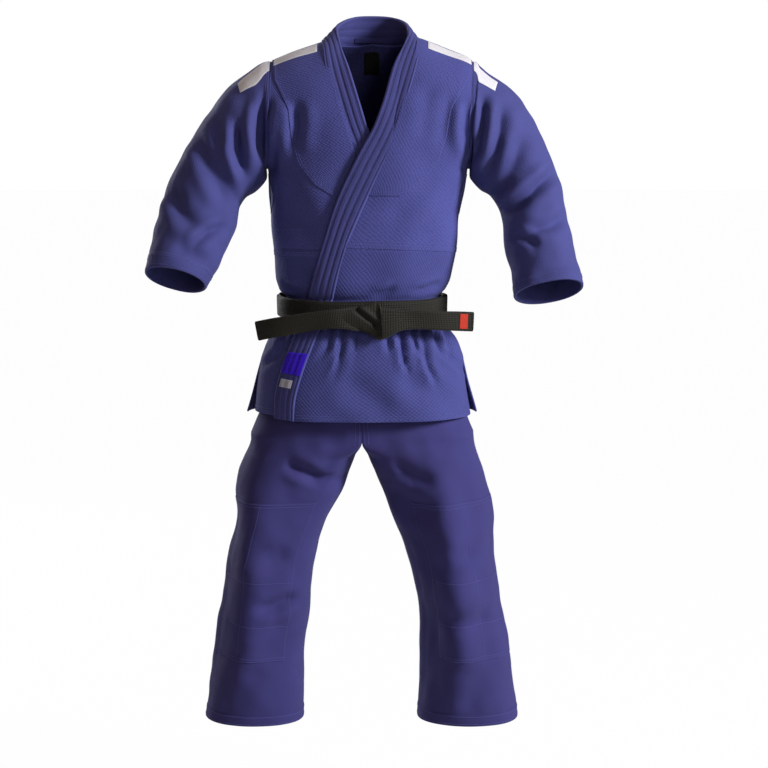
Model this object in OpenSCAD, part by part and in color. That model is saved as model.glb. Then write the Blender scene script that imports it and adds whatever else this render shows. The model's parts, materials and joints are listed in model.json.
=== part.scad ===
// Martial arts uniform: a wrapped jacket, its belt and a pair of trousers, in worn shape.
// +Z is up, the front faces -Y and +X is the wearer's left. The origin is the middle of the
// base of the neck, where the wearer's shoulders carry the jacket.

/* [Jacket] */
// Width of the jacket at the armpits
chest_width = 406; // [380:2:430]
// Width of the jacket under the belt
waist_width = 308; // [290:2:320]
// Width of the jacket at its hem
hem_width = 448; // [430:2:470]
// Depth of the chest in front of the side seams
chest_front = 118; // [105:1:125]
// Depth of the back behind the side seams
chest_back = 112; // [100:1:120]
// Height of the collar band above the base of the neck, at the back
collar_height = 72; // [60:1:80]
// Thickness of the woven jacket cloth
jacket_cloth = 4; // [3:0.5:4.5]
// Thickness of the quilted collar and lapel band
lapel_thickness = 9; // [7:0.5:9]

/* [Belt] */
// Width of the belt
belt_width = 40; // [36:1:44]
// Thickness of one turn of the belt
belt_thickness = 3.4; // [2.6:0.2:3.6]
// Thickness of the belt's loose tails
tail_thickness = 5; // [4:0.5:6]

/* [Sleeves] */
// Width of the armhole from front to back
armhole_depth = 176; // [160:2:184]
// Length of the turned cuff
cuff_length = 26; // [20:1:32]

/* [Trousers] */
// Width of the trousers at the waistband
trouser_waist = 286; // [270:2:290]
// Thickness of the trouser cloth
trouser_cloth = 3; // [2:0.5:3]
// Length of the turned hem of a leg
leg_hem = 24; // [18:1:30]

/* [Hidden] */

cloth_blue = [0.22, 0.24, 0.52];
sleeve_blue = [0.20, 0.22, 0.48];
trouser_blue = [0.20, 0.20, 0.46];
seam_blue = [0.26, 0.28, 0.58];
belt_black = [0.07, 0.07, 0.06];

gap = 0.4;                       // clear space along a seam between two pieces
overlay_gap = 1.6;               // the same under a second layer on a curved panel
edge_gap = 1.5;                  // the same along the edge of a lapel
round_power = 2.4;               // squareness of the jacket's cross section
over = jacket_cloth + 1.6;       // the over front lies this far outside the under front
under = -1.6;                    // and the under lapel this far inside its own front
armpit_z = -240;
belt_top_z = -503;
belt_bottom_z = -545;
belt_middle_z = (belt_top_z + belt_bottom_z) / 2;
fold_z = -594;                   // the skirt bends here, just below the knot and the tails
hem_z = -752;
lean = 22;                       // sideways shift from the waist up to the neck
armhole_x = chest_width / 2;
shoulder_z = 14;                 // top of the shoulder beside the collar
shoulder_slope = 0.37;
neck_x = 98;

// Height, half width, front depth and back depth of the jacket, from the armpit to the fold
body_rows = [
    [armpit_z, chest_width / 2, chest_front, chest_back],
    [-300, chest_width / 2 - 9, chest_front - 2, chest_back - 4],
    [-360, chest_width / 2 - 15, chest_front - 4, chest_back - 9],
    [-420, chest_width / 2 - 20, chest_front - 6, chest_back - 12],
    [-465, chest_width / 2 - 25, chest_front - 8, chest_back - 13],
    [-488, waist_width / 2 + 14, 104, 95],
    [belt_top_z, waist_width / 2, 97, 88],
    [belt_bottom_z - 10, waist_width / 2, 97, 88],
    [-570, waist_width / 2 + 17, 106, 98],
    [fold_z, waist_width / 2 + 38, 115, 110]
];
// The same below the fold, down to the hem
skirt_rows = [
    [fold_z - gap, waist_width / 2 + 38, 115, 110],
    [-625, hem_width / 2 - 20, 121, 119],
    [-670, hem_width / 2 - 10, 127, 125],
    [-715, hem_width / 2 - 4, 132, 129],
    [hem_z, hem_width / 2, 134, 131]
];
all_rows = concat([for (i = [4:-1:0]) skirt_rows[i]], [for (i = [9:-1:0]) body_rows[i]]);

// ---------- curves and surfaces ----------

function mix(a, b, t) = a + (b - a) * t;
function clamp(t) = max(0, min(1, t));
function unit(v) = v / max(norm(v), 1e-9);

// Smooth curve through the points of a list, at place u from 0 to len - 1
function curve(p, u) =
    let (last = len(p) - 1, i = max(0, min(floor(u), last - 1)), t = u - i,
         a = p[max(i - 1, 0)], b = p[i], c = p[i + 1], d = p[min(i + 2, last)])
    b + 0.5 * t * ((c - a) + t * ((2 * a - 5 * b + 4 * c - d) + t * (3 * b - a - 3 * c + d)));

function column(rows, k) = [for (r = rows) [r[0], r[k]]];
function lean_x(z) = z > belt_middle_z ? mix(-12, lean - 12, (z - belt_middle_z) / -belt_middle_z) : -12;

// Top of the shoulder above a place x, rising towards the neck
function ridge_z(x) =
    abs(x) > neck_x ? shoulder_z - shoulder_slope * (abs(x) - neck_x)
                    : shoulder_z + 0.25 * (neck_x - abs(x));

// Depth of the armhole's edge at height share q above the armpit
function hole_depth(q) = armhole_depth / 2 * sqrt(max(0, 4 * q * (1 - q)));

// Depth of the jacket in front of (side -1) or behind (side 1) the side seams, at x and z
function depth(side, x, z) =
    let (k = side < 0 ? 2 : 3, p = round_power,
         w = z < armpit_z ? lookup(z, column(all_rows, 1)) : armhole_x,
         s = pow(min(1, abs(x - lean_x(z)) / w), p),
         full = lookup(max(min(z, armpit_z), hem_z), column(all_rows, k)))
    z < armpit_z ? full * pow(1 - s, 1 / p)
    : let (q = clamp((z - armpit_z) / (ridge_z(x - lean_x(z)) - armpit_z)),
           body = full * pow(1 - pow(q, p), 1 / p))
      pow(pow(body, p) * (1 - s) + pow(hole_depth(q), p) * s, 1 / p);

// A point of the jacket at angle w across it (-90 right side, 90 left side) and a row's height
function body_point(side, w, z) =
    let (s = sign(w) * pow(abs(sin(w)), 2 / round_power),
         wide = lookup(z, column(all_rows, 1)),
         deep = lookup(z, column(all_rows, side < 0 ? 2 : 3)))
    [lean_x(z) + s * wide, side * max(0.2, deep * pow(cos(w), 2 / round_power)), z];

// A point of the chest or back at angle w across it and angle f up it (90 at the shoulder seam)
function chest_point(side, w, f) =
    let (p = round_power, s = sign(w) * pow(abs(sin(w)), 2 / p), q = pow(sin(f), 2 / p),
         z = armpit_z + q * (ridge_z(s * armhole_x) - armpit_z),
         body = (side < 0 ? chest_front : chest_back) * pow(cos(f), 2 / p),
         edge = pow(abs(s), p))
    [lean_x(z) + s * armhole_x,
     side * max(0.2, pow(pow(body, p) * (1 - edge) + pow(hole_depth(q), p) * edge, 1 / p)), z];

function angle_at(x, z) =
    let (w = z < armpit_z ? lookup(z, column(all_rows, 1)) : armhole_x,
         s = max(-1, min(1, (x - lean_x(z)) / w)))
    sign(s) * asin(pow(abs(s), round_power / 2));

// ---------- solids made from a grid of points ----------

function grid_normal(g, i, j, ring) =
    let (n = len(g) - 1, m = len(g[0]) - 1,
         up = g[min(i + 1, n)][j] - g[max(i - 1, 0)][j],
         along = ring ? g[i][(j + 1) % (m + 1)] - g[i][(j + m) % (m + 1)]
                      : g[i][min(j + 1, m)] - g[i][max(j - 1, 0)])
    unit(cross(along, up));

function quad(a, b, c, d) = [[a, b, c], [a, c, d]];

// A cloth of even thickness over a grid: from low to high along the grid's outward normals,
// with an extra shift for each row
module cloth(g, low, high, ring = false, shift = []) {
    n = len(g);
    m = len(g[0]);
    count = n * m;
    normals = [for (i = [0:n - 1]) [for (j = [0:m - 1]) grid_normal(g, i, j, ring)]];
    moved = len(shift) == n ? shift : [for (i = [0:n - 1]) 0];
    points = [for (h = [low, high]) for (i = [0:n - 1]) for (j = [0:m - 1])
        g[i][j] + (h + moved[i]) * normals[i][j]];
    across = ring ? m : m - 1;
    sheet = [for (i = [0:n - 2]) for (j = [0:across - 1])
        let (k = (j + 1) % m, a = i * m + j, b = i * m + k, c = a + m, d = b + m)
        each concat(quad(a, b, d, c), quad(a + count, c + count, d + count, b + count))];
    ends = [for (j = [0:across - 1])
        let (k = (j + 1) % m, t = (n - 1) * m)
        each concat(quad(j, j + count, k + count, k),
                    quad(t + j, t + k, t + k + count, t + j + count))];
    sides = ring ? [] : [for (i = [0:n - 2])
        let (a = i * m, c = a + m, b = a + m - 1, d = b + m)
        each concat(quad(a, c, c + count, a + count), quad(b, b + count, d + count, d))];
    polyhedron(points, concat(sheet, ends, sides), convexity = 10);
}

// ---------- collar and lapel band ----------

// Inner (upper) edge of each lapel band, from the middle of the back to the hem: x, y, z
left_inner = [
    [8, 62, collar_height], [44, 54, collar_height - 3], [68, 28, 58], [78, 0, 42], [76, -38, 12],
    [50, -84, -38], [25, -108, -105], [6, -117, -152], [-22, -118, -206], [-59, -112, -296],
    [-88, -100, -388], [-114, -80, -480], [-122, -74, -524], [-139, -84, fold_z], [-154, -84, -646],
    [-176, -84, -700], [-186, -84, hem_z + 4]
];
// Outer (lower) edge of the same band, where it is sewn to the jacket
left_outer = [
    [8, 72, 4], [60, 62, 8], [92, 31, 14], [106, -4, 10], [107, -50, -4],
    [96, -80, -56], [68, -100, -150], [52, -112, -190], [20, -116, -256], [-20, -112, -344],
    [-42, -108, -400], [-66, -96, -488], [-74, -92, -528], [-95, -100, fold_z], [-112, -108, -652],
    [-136, -110, -706], [-146, -112, hem_z]
];
// The wearer's right band, which goes under the left one
right_inner = [
    [8, 62, collar_height], [-24, 54, collar_height - 3], [-48, 28, 56], [-58, 0, 40], [-54, -38, 8],
    [-36, -84, -38], [-12, -106, -105], [6, -117, -152], [28, -116, -210], [58, -112, -300],
    [84, -100, -390], [108, -84, -480], [114, -80, -524], [121, -84, fold_z], [128, -90, -646],
    [134, -96, -700], [138, -98, hem_z + 12]
];
right_outer = [
    [8, 72, 4], [-44, 62, 8], [-76, 30, 14], [-90, -4, 12], [-90, -50, -4],
    [-84, -80, -50], [-66, -104, -112], [-50, -112, -160], [-28, -116, -216], [6, -114, -300],
    [38, -108, -396], [60, -98, -486], [66, -94, -528], [73, -104, fold_z], [80, -112, -652],
    [86, -116, -706], [90, -120, hem_z + 10]
];
shoulder_stop = 3;               // place along the band where collar and lapel meet
fold_stop = 13;                  // place along the band where the skirt bends

// A point of the band: u along it, v from its outer edge (0) to its inner edge (1)
function band_point(inner, outer, u, v) =
    let (a = curve(outer, u), b = curve(inner, u), c = mix(a, b, v),
         on_chest = u < 4 ? 0 : clamp((u - 4) / 3))
    [c[0], mix(c[1], -depth(-1, c[0], c[2]), max(on_chest, u < 3.5 ? 0 : (1 - v) * clamp(u - 3.5))), c[2]];

function band_grid(inner, outer, from, to, steps, across, flip) =
    [for (i = [0:steps])
        [for (j = [0:across])
            band_point(inner, outer, mix(from, to, i / steps), flip ? 1 - j / across : j / across)]];

// Place across the jacket of a band's outer edge, at height z
function edge_x(outer, z) = lookup(z, [for (u = [4:0.5:len(outer) - 1])
    let (p = curve(outer, u)) [p[2], p[0]]]);

// From the shoulder, where it continues the collar, each lapel moves out or in to its own layer
module lapel(inner, outer, low, flip) {
    steps = 40;
    g = band_grid(inner, outer, shoulder_stop + 0.01, fold_stop - 0.01, steps, 4, flip);
    run_in = (fold_stop - shoulder_stop) / 2.5;
    cloth(g, 0, lapel_thickness, shift = [for (i = [0:steps]) low * clamp(i / steps * run_in)]);
}

module lapel_end(inner, outer, low, flip) {
    cloth(band_grid(inner, outer, fold_stop + 0.04, 16, 8, 3, flip), low, low + lapel_thickness);
}

module collar_back() {
    color(cloth_blue)
        cloth(concat([for (i = [12:-1:1]) [for (j = [0:4])
                  band_point(right_inner, right_outer, (shoulder_stop - 0.01) * i / 12, j / 4)]],
              [for (i = [0:12]) [for (j = [0:4])
                  band_point(left_inner, left_outer, (shoulder_stop - 0.01) * i / 12, j / 4)]]),
              0, lapel_thickness);
}

module left_lapel() {
    color(cloth_blue) lapel(left_inner, left_outer, over, false);
}

module right_lapel() {
    color(cloth_blue) lapel(right_inner, right_outer, jacket_cloth - lapel_thickness + under, true);
}

module left_lapel_end() {
    color(cloth_blue) lapel_end(left_inner, left_outer, over, false);
}

module right_lapel_end() {
    color(cloth_blue) lapel_end(right_inner, right_outer, jacket_cloth - lapel_thickness + under, true);
}

// ---------- jacket body ----------

chest_steps = [for (i = [1:7]) 90 * i / 7];

// A row of a front from the lapel's outer edge to the side seam; hand is 1 on the wearer's left
function front_low_row(outer, hand, z, m) =
    let (from = angle_at(edge_x(outer, z) + hand * edge_gap, z))
    [for (j = [0:m]) body_point(-1, mix(from, hand * 90, j / m), z)];

function front_top_row(outer, hand, f, m) =
    let (q = pow(sin(f), 2 / round_power),
         z = armpit_z + q * (ridge_z(edge_x(outer, armpit_z + q * 250)) - armpit_z),
         from = angle_at(edge_x(outer, z) + hand * (edge_gap + 9 * pow(q, 6)), z))
    [for (j = [0:m]) chest_point(-1, mix(from, hand * 90, j / m), f)];

function turned(g, hand) = hand > 0 ? g : [for (r = g) [for (j = [len(r) - 1:-1:0]) r[j]]];

module front_panel(outer, hand, low) {
    rows = concat([for (i = [len(body_rows) - 1:-1:0]) front_low_row(outer, hand, body_rows[i][0], 13)],
                  [for (f = chest_steps) front_top_row(outer, hand, f, 13)]);
    cloth(turned(rows, hand), low, low + jacket_cloth);
}

module left_front_panel() {
    color(cloth_blue) front_panel(left_outer, 1, over);
}

module right_front_panel() {
    color(cloth_blue) front_panel(right_outer, -1, 0);
}

// The back's top edge dips round the neck
function back_top(w) =
    let (x = armhole_x * pow(abs(sin(w)), 2 / round_power))
    90 - 27 * sqrt(max(0, 1 - pow(x / neck_x, 2)));

module back_panel(hand) {
    m = 12;
    across = [for (j = [0:m]) mix(hand * 0.15, hand * 90, j / m)];
    rows = concat([for (i = [len(body_rows) - 1:-1:0]) [for (w = across) body_point(1, w, body_rows[i][0])]],
                  [for (i = [1:7]) [for (w = across) chest_point(1, w, back_top(w) * i / 7)]]);
    cloth(turned(rows, -hand), 0, jacket_cloth);
}

module back_left_panel() {
    color(cloth_blue) back_panel(1);
}

module back_right_panel() {
    color(cloth_blue) back_panel(-1);
}

// Reach of the chest yoke from the jacket's middle, by height
yoke_reach = [
    [-296, 62], [-271, 104], [-229, 140], [-178, 157], [-120, 165], [-86, 180], [-56, 194], [0, 194]
];

// Inner limit of a chest yoke: its own lapel, and on the wearer's right the over lapel too
function yoke_start(outer, hand, z) =
    hand > 0 ? edge_x(outer, z) + 3
             : min(edge_x(outer, z), z > -160 ? neck_x : edge_x(left_inner, z)) - 4;

// Second layer over the shoulder and chest, ending in a curved seam below the armpit's height
module chest_yoke(outer, hand, low) {
    m = 8;
    rows = [for (i = [0:5])
        let (z = mix(hand > 0 ? -294 : -278, armpit_z - 6, i / 5),
             from = angle_at(yoke_start(outer, hand, z), z),
             to = angle_at(lean_x(z) + hand * lookup(z, yoke_reach), z))
        [for (j = [0:m]) body_point(-1, mix(from, to, j / m), z)]];
    upper = [for (i = [1:7])
        let (f = 83 * i / 7, q = pow(sin(f), 2 / round_power),
             z = armpit_z + q * (ridge_z(edge_x(outer, armpit_z + q * 250)) - armpit_z),
             z_out = armpit_z + q * (ridge_z(150) - armpit_z),
             from = angle_at(yoke_start(outer, hand, z), z),
             to = angle_at(lean_x(z_out) + hand * lookup(z_out, yoke_reach), z_out))
        [for (j = [0:m]) chest_point(-1, mix(from, to, j / m), f)]];
    cloth(turned(concat(rows, upper), hand), low + overlay_gap, low + overlay_gap + 1.4);
}

module left_chest_yoke() {
    color(seam_blue) chest_yoke(left_outer, 1, over + jacket_cloth);
}

module right_chest_yoke() {
    color(seam_blue) chest_yoke(right_outer, -1, jacket_cloth);
}

module back_yoke() {
    m = 26;
    low = jacket_cloth + 2 * overlay_gap;
    rows = [for (i = [0:5]) [for (j = [0:m])
        let (w = mix(-78, 78, j / m), f = mix(14 - 12 * cos(w), back_top(w) - 9, i / 5))
        chest_point(1, w, f)]];
    color(seam_blue) cloth(turned(rows, -1), low, low + 1.4);
}

// A tape along the front of the shoulder, below its seam
module shoulder_tape(hand, low) {
    rows = [for (i = [0:1]) [for (j = [0:9])
        let (s = mix(0.56, 0.985, j / 9), w = hand * asin(pow(s, round_power / 2)))
        chest_point(-1, w, mix(68, 81, i))]];
    color("white") cloth(turned(rows, hand), low, low + 1);
}

module left_shoulder_tape() {
    shoulder_tape(1, over + jacket_cloth + 4.6);
}

module right_shoulder_tape() {
    shoulder_tape(-1, jacket_cloth + 4.6);
}

// The reinforcing patch under the arm, on the jacket's side seam
module armpit_gusset(hand, low) {
    rows = [for (i = [0:4])
        let (half = mix(3, 26, i / 4))
        [for (j = [0:6])
            let (t = mix(-1, 1, j / 6), side = t < 0 ? -1 : 1)
            body_point(side, hand * (90 - abs(t) * half), mix(-334, armpit_z - 32, i / 4))]];
    color(seam_blue) cloth(turned(rows, hand), low, low + 1.4);
}

module left_armpit_gusset() {
    armpit_gusset(1, over + jacket_cloth + overlay_gap);
}

module right_armpit_gusset() {
    armpit_gusset(-1, jacket_cloth + overlay_gap);
}

module neck_label() {
    color("black")
        translate([-8, 83, -44])
            rotate([26, 0, 0])
                cube([32, 1, 52]);
}

module hanging_loop() {
    color(cloth_blue)
        translate([8, 63, 20])
            rotate([8, 0, 0])
                difference() {
                    translate([-32, -2.2, -4]) cube([64, 1.8, 12]);
                    translate([-24, -3, -0.5]) cube([48, 4, 5]);
                }
}

// ---------- belt ----------

// A ring round the jacket at the belt, away from its surface; the belt hangs lower in front
function belt_ring(away, z) =
    [for (j = [0:43])
        let (t = 360 * j / 44, s = sin(t), c = -cos(t), p = round_power,
             drop = 6 * max(0, -c))
        [-12 + (waist_width / 2 + away) * sign(s) * pow(abs(s), 2 / p),
         (c < 0 ? 97 + away : 88 + away) * sign(c) * pow(abs(c), 2 / p), z - drop]];

belt_away = over + lapel_thickness + 2;

module belt_turn(away) {
    cloth([belt_ring(away, belt_middle_z - belt_width / 2 + 2),
           belt_ring(away, belt_middle_z + 2),
           belt_ring(away, belt_middle_z + belt_width / 2 + 2)], 0, belt_thickness, true);
}

module belt_inner_turn() {
    color(belt_black) belt_turn(belt_away);
}

module belt_outer_turn() {
    color(belt_black) belt_turn(belt_away + belt_thickness + 0.5);
}

knot_x = 14;
knot_y = -129;
knot_z = -540;

// The flat knot: two folded wings crossing over a rounded middle
module belt_knot() {
    color(belt_black)
        hull() {
            translate([knot_x - 42, knot_y + 2, knot_z + 12]) sphere(r = 5, $fn = 16);
            translate([knot_x + 28, knot_y + 2, knot_z + 12]) sphere(r = 5, $fn = 16);
            translate([knot_x - 40, knot_y - 1, knot_z - 12]) sphere(r = 6, $fn = 16);
            translate([knot_x + 26, knot_y - 2, knot_z - 14]) sphere(r = 6, $fn = 16);
            translate([knot_x + 6, knot_y - 3, knot_z - 36]) sphere(r = 7, $fn = 16);
            translate([knot_x + 2, knot_y - 3, knot_z + 30]) sphere(r = 6, $fn = 16);
        }
}

// Middle line of each tail from the knot outwards, as x, y, z
left_tail_path = [
    [54, -138, -541], [86, -137, -542], [118, -132, -543],
    [152, -124, -545], [186, -114, -547], [216, -104, -549]
];
right_tail_path = [
    [-42, -137, -538], [-76, -137, -541], [-112, -132, -546],
    [-152, -122, -553], [-192, -110, -561], [-227, -98, -569]
];

module tail(path, twist) {
    hand = sign(path[5][0]);
    rows = [for (i = [-1, 0, 1]) [for (k = [0:12])
        let (p = curve(path, k * 5 / 12), lower = i * belt_width / 2 - 1)
        [p[0] + lower * 0.1 * hand, p[1] + lower * twist * k / 12, p[2] + lower]]];
    cloth(turned(rows, hand), -tail_thickness / 2, tail_thickness / 2);
}

module left_tail() {
    color(belt_black) tail(left_tail_path, 0.05);
}

module right_tail() {
    color(belt_black) tail(right_tail_path, 0.1);
}

// A small woven bar near the end of the tail
module left_tail_mark() {
    rows = [for (i = [-1, 1]) [for (k = [0:2])
        let (p = curve(left_tail_path, mix(4.05, 4.5, k / 2)), lower = i * 15 - 1)
        [p[0] + lower * 0.1, p[1] + lower * 0.05, p[2] + lower]]];
    color("firebrick") cloth(rows, tail_thickness / 2 + 0.2, tail_thickness / 2 + 1);
}

// ---------- jacket skirt ----------

module front_skirt_panel(outer, hand, low, lift) {
    m = 11;
    last = len(skirt_rows) - 1;
    rows = [for (i = [last:-1:0])
        let (z = skirt_rows[i][0] + lift * i / last,
             from = angle_at(edge_x(outer, z) + hand * edge_gap, z))
        [for (j = [0:m]) body_point(-1, mix(from, hand * 84, j / m), z)]];
    cloth(turned(rows, hand), low, low + jacket_cloth);
}

module over_skirt() {
    color(cloth_blue) front_skirt_panel(left_outer, 1, over, 0);
}

module under_skirt() {
    color(cloth_blue) front_skirt_panel(right_outer, -1, 0, 12);
}

// The back skirt flares more than the front, so its corners show beside the front's edges
function back_skirt_point(i, w) =
    let (p = body_point(1, w, skirt_rows[i][0]), c = lean_x(p[2]))
    [c + (p[0] - c) * (1 + 0.08 * pow(i / 4, 1.5)), p[1] + 1, p[2]];

module back_skirt(hand) {
    m = 8;
    rows = [for (i = [4:-1:0]) [for (j = [0:m]) back_skirt_point(i, mix(hand * 0.15, hand * 86, j / m))]];
    cloth(turned(rows, -hand), 0, jacket_cloth);
}

module back_left_skirt() {
    color(cloth_blue) back_skirt(1);
}

module back_right_skirt() {
    color(cloth_blue) back_skirt(-1);
}

// Tapes sewn inside the back skirt's two side edges
module back_vent_tapes() {
    color(seam_blue)
        for (hand = [-1, 1]) {
            rows = [for (i = [4:-1:1]) [for (j = [0:2])
                back_skirt_point(i, hand * mix(72, 85, j / 2)) + [0, 0, i == 4 ? 4 : 0]]];
            cloth(turned(rows, -hand), jacket_cloth + overlay_gap, jacket_cloth + overlay_gap + 1.2);
        }
}

module lapel_plate(from, to, left, right, thick) {
    rows = [for (i = [0:3]) [for (j = [0:3])
        band_point(left_inner, left_outer, mix(to, from, i / 3), mix(left, right, j / 3))]];
    cloth(rows, over + lapel_thickness + overlay_gap, over + lapel_thickness + overlay_gap + thick);
}

module lapel_patch() {
    color([0.1, 0, 0.65]) lapel_plate(13.3, 14.2, 0.95, 0.02, 1.4);
}

module lapel_tab() {
    color([0.6, 0.6, 0.66]) lapel_plate(14.34, 14.66, 0.86, 0.3, 1);
}

// ---------- sleeves ----------

// Rings along a sleeve: outer x and z, inner x and z, middle y, half depth
left_sleeve_rings = [
    [223, -28, 214, -238, 0, 87], [238, -36, 219, -262, 0, 92], [292, -80, 233, -284, -4, 92],
    [338, -142, 254, -296, -8, 88], [372, -210, 268, -316, -14, 82], [397, -288, 279, -348, -26, 76],
    [412, -360, 284, -404, -48, 73], [426, -428, 296, -452, -74, 70], [436, -478, 302, -500, -96, 69]
];
right_sleeve_rings = [
    [-198, -24, -208, -238, 0, 87], [-240, -44, -218, -264, 0, 92], [-288, -80, -236, -286, -4, 92],
    [-334, -140, -256, -300, -10, 88], [-374, -202, -268, -318, -18, 80], [-402, -262, -270, -342, -32, 76],
    [-420, -320, -274, -378, -50, 73], [-436, -378, -298, -426, -74, 69], [-450, -450, -330, -478, -102, 68]
];

function ring_middle(r) = [(r[0] + r[2]) / 2, r[4], (r[1] + r[3]) / 2];

// The k-th ring of a tube made from stations; u may lie between two stations
function tube_ring(list, u, count, squareness) =
    let (r = curve(list, u), a = curve(list, max(0, u - 0.5)), b = curve(list, min(len(list) - 1, u + 0.5)),
         run = unit(ring_middle(b) - ring_middle(a)),
         half = [r[0] - r[2], 0, r[1] - r[3]] / 2,
         flat_run = u < 0.01 ? [sign(r[0]), 0, 0] : run,
         deep = unit(cross(flat_run, half)) * r[5],
         c = ring_middle(r))
    [for (j = [0:count - 1])
        let (t = 360 * j / count, s = sin(t), o = cos(t), p = squareness)
        c + half * sign(o) * pow(abs(o), 2 / p) + deep * sign(s) * pow(abs(s), 2 / p)];

module sleeve_part(list, from, to, steps, low, high) {
    rows = [for (i = [0:steps]) tube_ring(list, mix(from, to, i / steps), 24, 2.1)];
    cloth(rows, low, high, true);
}

cuff_from = 8 - cuff_length / 54;

module upper_sleeve(list) {
    sleeve_part(list, 0, 4.49, 9, -jacket_cloth, 0);
}

module lower_sleeve(list) {
    sleeve_part(list, 4.5, 8, 8, -jacket_cloth, 0);
}

module cuff(list) {
    sleeve_part(list, cuff_from, 7.97, 1, gap, 1.8);
}

module left_upper_sleeve() {
    color(sleeve_blue) upper_sleeve(left_sleeve_rings);
}

module left_lower_sleeve() {
    color(sleeve_blue) lower_sleeve(left_sleeve_rings);
}

module left_cuff() {
    color(seam_blue) cuff(left_sleeve_rings);
}

module right_upper_sleeve() {
    color(sleeve_blue) upper_sleeve(right_sleeve_rings);
}

module right_lower_sleeve() {
    color(sleeve_blue) lower_sleeve(right_sleeve_rings);
}

module right_cuff() {
    color(seam_blue) cuff(right_sleeve_rings);
}

// ---------- trousers ----------

hip_bottom_z = -790;
leg_top_z = -792;
// Height, half width, front depth and back depth of the trousers above the legs
hip_rows = [
    [hip_bottom_z, 234, 112, 118], [-752, 217, 112, 118], [-710, 205, 110, 116],
    [-650, 190, 104, 110], [-600, 168, 96, 102], [-580, trouser_waist / 2 + 10, 88, 90],
    [-552, trouser_waist / 2, 80, 78]
];

// A whole ring of the hips, starting at the wearer's right side and going round the front
function hip_ring(z, away, count, from = 0, to = 360) =
    [for (j = [0:count])
        let (t = 180 + mix(from, to, j / count), s = sin(t), c = cos(t),
             p = round_power + 0.7 * clamp((-742 - z) / 48),
             w = lookup(z, column(hip_rows, 1)) + away,
             d = lookup(z, column(hip_rows, s < 0 ? 2 : 3)) + away)
        [-12 + w * sign(c) * pow(abs(c), 2 / p), d * sign(s) * pow(abs(s), 2 / p), z]];

module hip_half(from, to) {
    rows = [for (i = [0:len(hip_rows) - 2]) hip_ring(hip_rows[i][0], 0, 20, from, to)];
    cloth(rows, -trouser_cloth, 0);
}

module hip_front() {
    color(trouser_blue) hip_half(0.12, 179.88);
}

module hip_back() {
    color(trouser_blue) hip_half(180.12, 359.88);
}

module waistband() {
    rows = [for (z = [-579, -552]) [for (j = [0:39]) hip_ring(z, 0, 40)[j]]];
    color(trouser_blue) cloth(rows, -trouser_cloth, 0, true);
}

// The flat cord lies against the waistband's inner face
module drawstring() {
    rows = [for (z = [-572, -562]) [for (j = [0:39]) hip_ring(z, 0, 40)[j]]];
    color("white") cloth(rows, -trouser_cloth - 2.6, -trouser_cloth - gap, true);
}

// The saddle between the two legs, from the centre front to the centre back
module crotch_gusset() {
    rows = [for (i = [0:12])
        let (y = mix(-105, 111, i / 12))
        [for (x = [-26, -12, 2]) [x, y, hip_bottom_z + 1 - 2 * abs(x + 12) / 14]]];
    color(trouser_blue) cloth(rows, 0, trouser_cloth);
}

// Rings along a leg: outer x and z, inner x and z, middle y, half depth
left_leg_rings = [
    [222, leg_top_z, -8, leg_top_z, 2, 112], [232, -846, 2, -838, 0, 108], [249, -904, 30, -908, -2, 104],
    [261, -954, 52, -966, -6, 100], [266, -1050, 86, -1050, -12, 96], [280, -1150, 106, -1150, -10, 92],
    [300, -1276, 112, -1272, -2, 90], [318, -1408, 108, -1408, 4, 90]
];
right_leg_rings = [
    [-246, leg_top_z, -16, leg_top_z, 2, 112], [-262, -846, -28, -838, 0, 108],
    [-277, -904, -52, -904, -2, 104], [-279, -966, -82, -966, -6, 100], [-294, -1048, -114, -1052, -12, 96],
    [-310, -1144, -124, -1160, -10, 92], [-328, -1264, -136, -1276, -2, 90], [-348, -1406, -141, -1408, 4, 90]
];

// A point of a leg's ring at angle t, fuller on its inner side near the top where the legs meet
function leg_point(list, u, t) =
    let (r = curve(list, u), half = [r[0] - r[2], 0, r[1] - r[3]] / 2, s = sin(t), o = cos(t),
         p = o < 0 ? mix(6, 2.3, clamp(u / 1.6)) : 2.3)
    ring_middle(r) + half * sign(o) * pow(abs(o), 2 / p) + [0, r[5] * sign(s) * pow(abs(s), 2 / p), 0];

function leg_ring(list, u) = [for (j = [0:27]) leg_point(list, u, 360 * j / 28)];

function leg_half(list, u, front) =
    [for (j = [0:14]) leg_point(list, u, (front ? 180 : 0) + mix(0.15, 179.85, j / 14))];

module leg_panel(list, hand, front) {
    rows = [for (i = [0:14]) leg_half(list, 7 * (1 - i / 14), front)];
    cloth(turned(rows, -hand), -trouser_cloth, 0);
}

module knee_patch(list, hand) {
    rows = [for (i = [0:7]) [for (j = [2:12]) leg_half(list, mix(5.95, 3, i / 7), true)[j]]];
    cloth(turned(rows, -hand), 1, 2.2);
}

module leg_hem_band(list, hand) {
    rows = [for (i = [0:1]) leg_ring(list, mix(6.98, 7 - leg_hem / 132, i))];
    cloth(turned(rows, -hand), gap, gap + 1.2, true);
}

module left_leg_front() {
    color(trouser_blue) leg_panel(left_leg_rings, 1, true);
}

module left_leg_back() {
    color(trouser_blue) leg_panel(left_leg_rings, 1, false);
}

module left_knee_patch() {
    color(seam_blue) knee_patch(left_leg_rings, 1);
}

module left_leg_hem() {
    color(seam_blue) leg_hem_band(left_leg_rings, 1);
}

module right_leg_front() {
    color(trouser_blue) leg_panel(right_leg_rings, -1, true);
}

module right_leg_back() {
    color(trouser_blue) leg_panel(right_leg_rings, -1, false);
}

module right_knee_patch() {
    color(seam_blue) knee_patch(right_leg_rings, -1);
}

module right_leg_hem() {
    color(seam_blue) leg_hem_band(right_leg_rings, -1);
}

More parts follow.
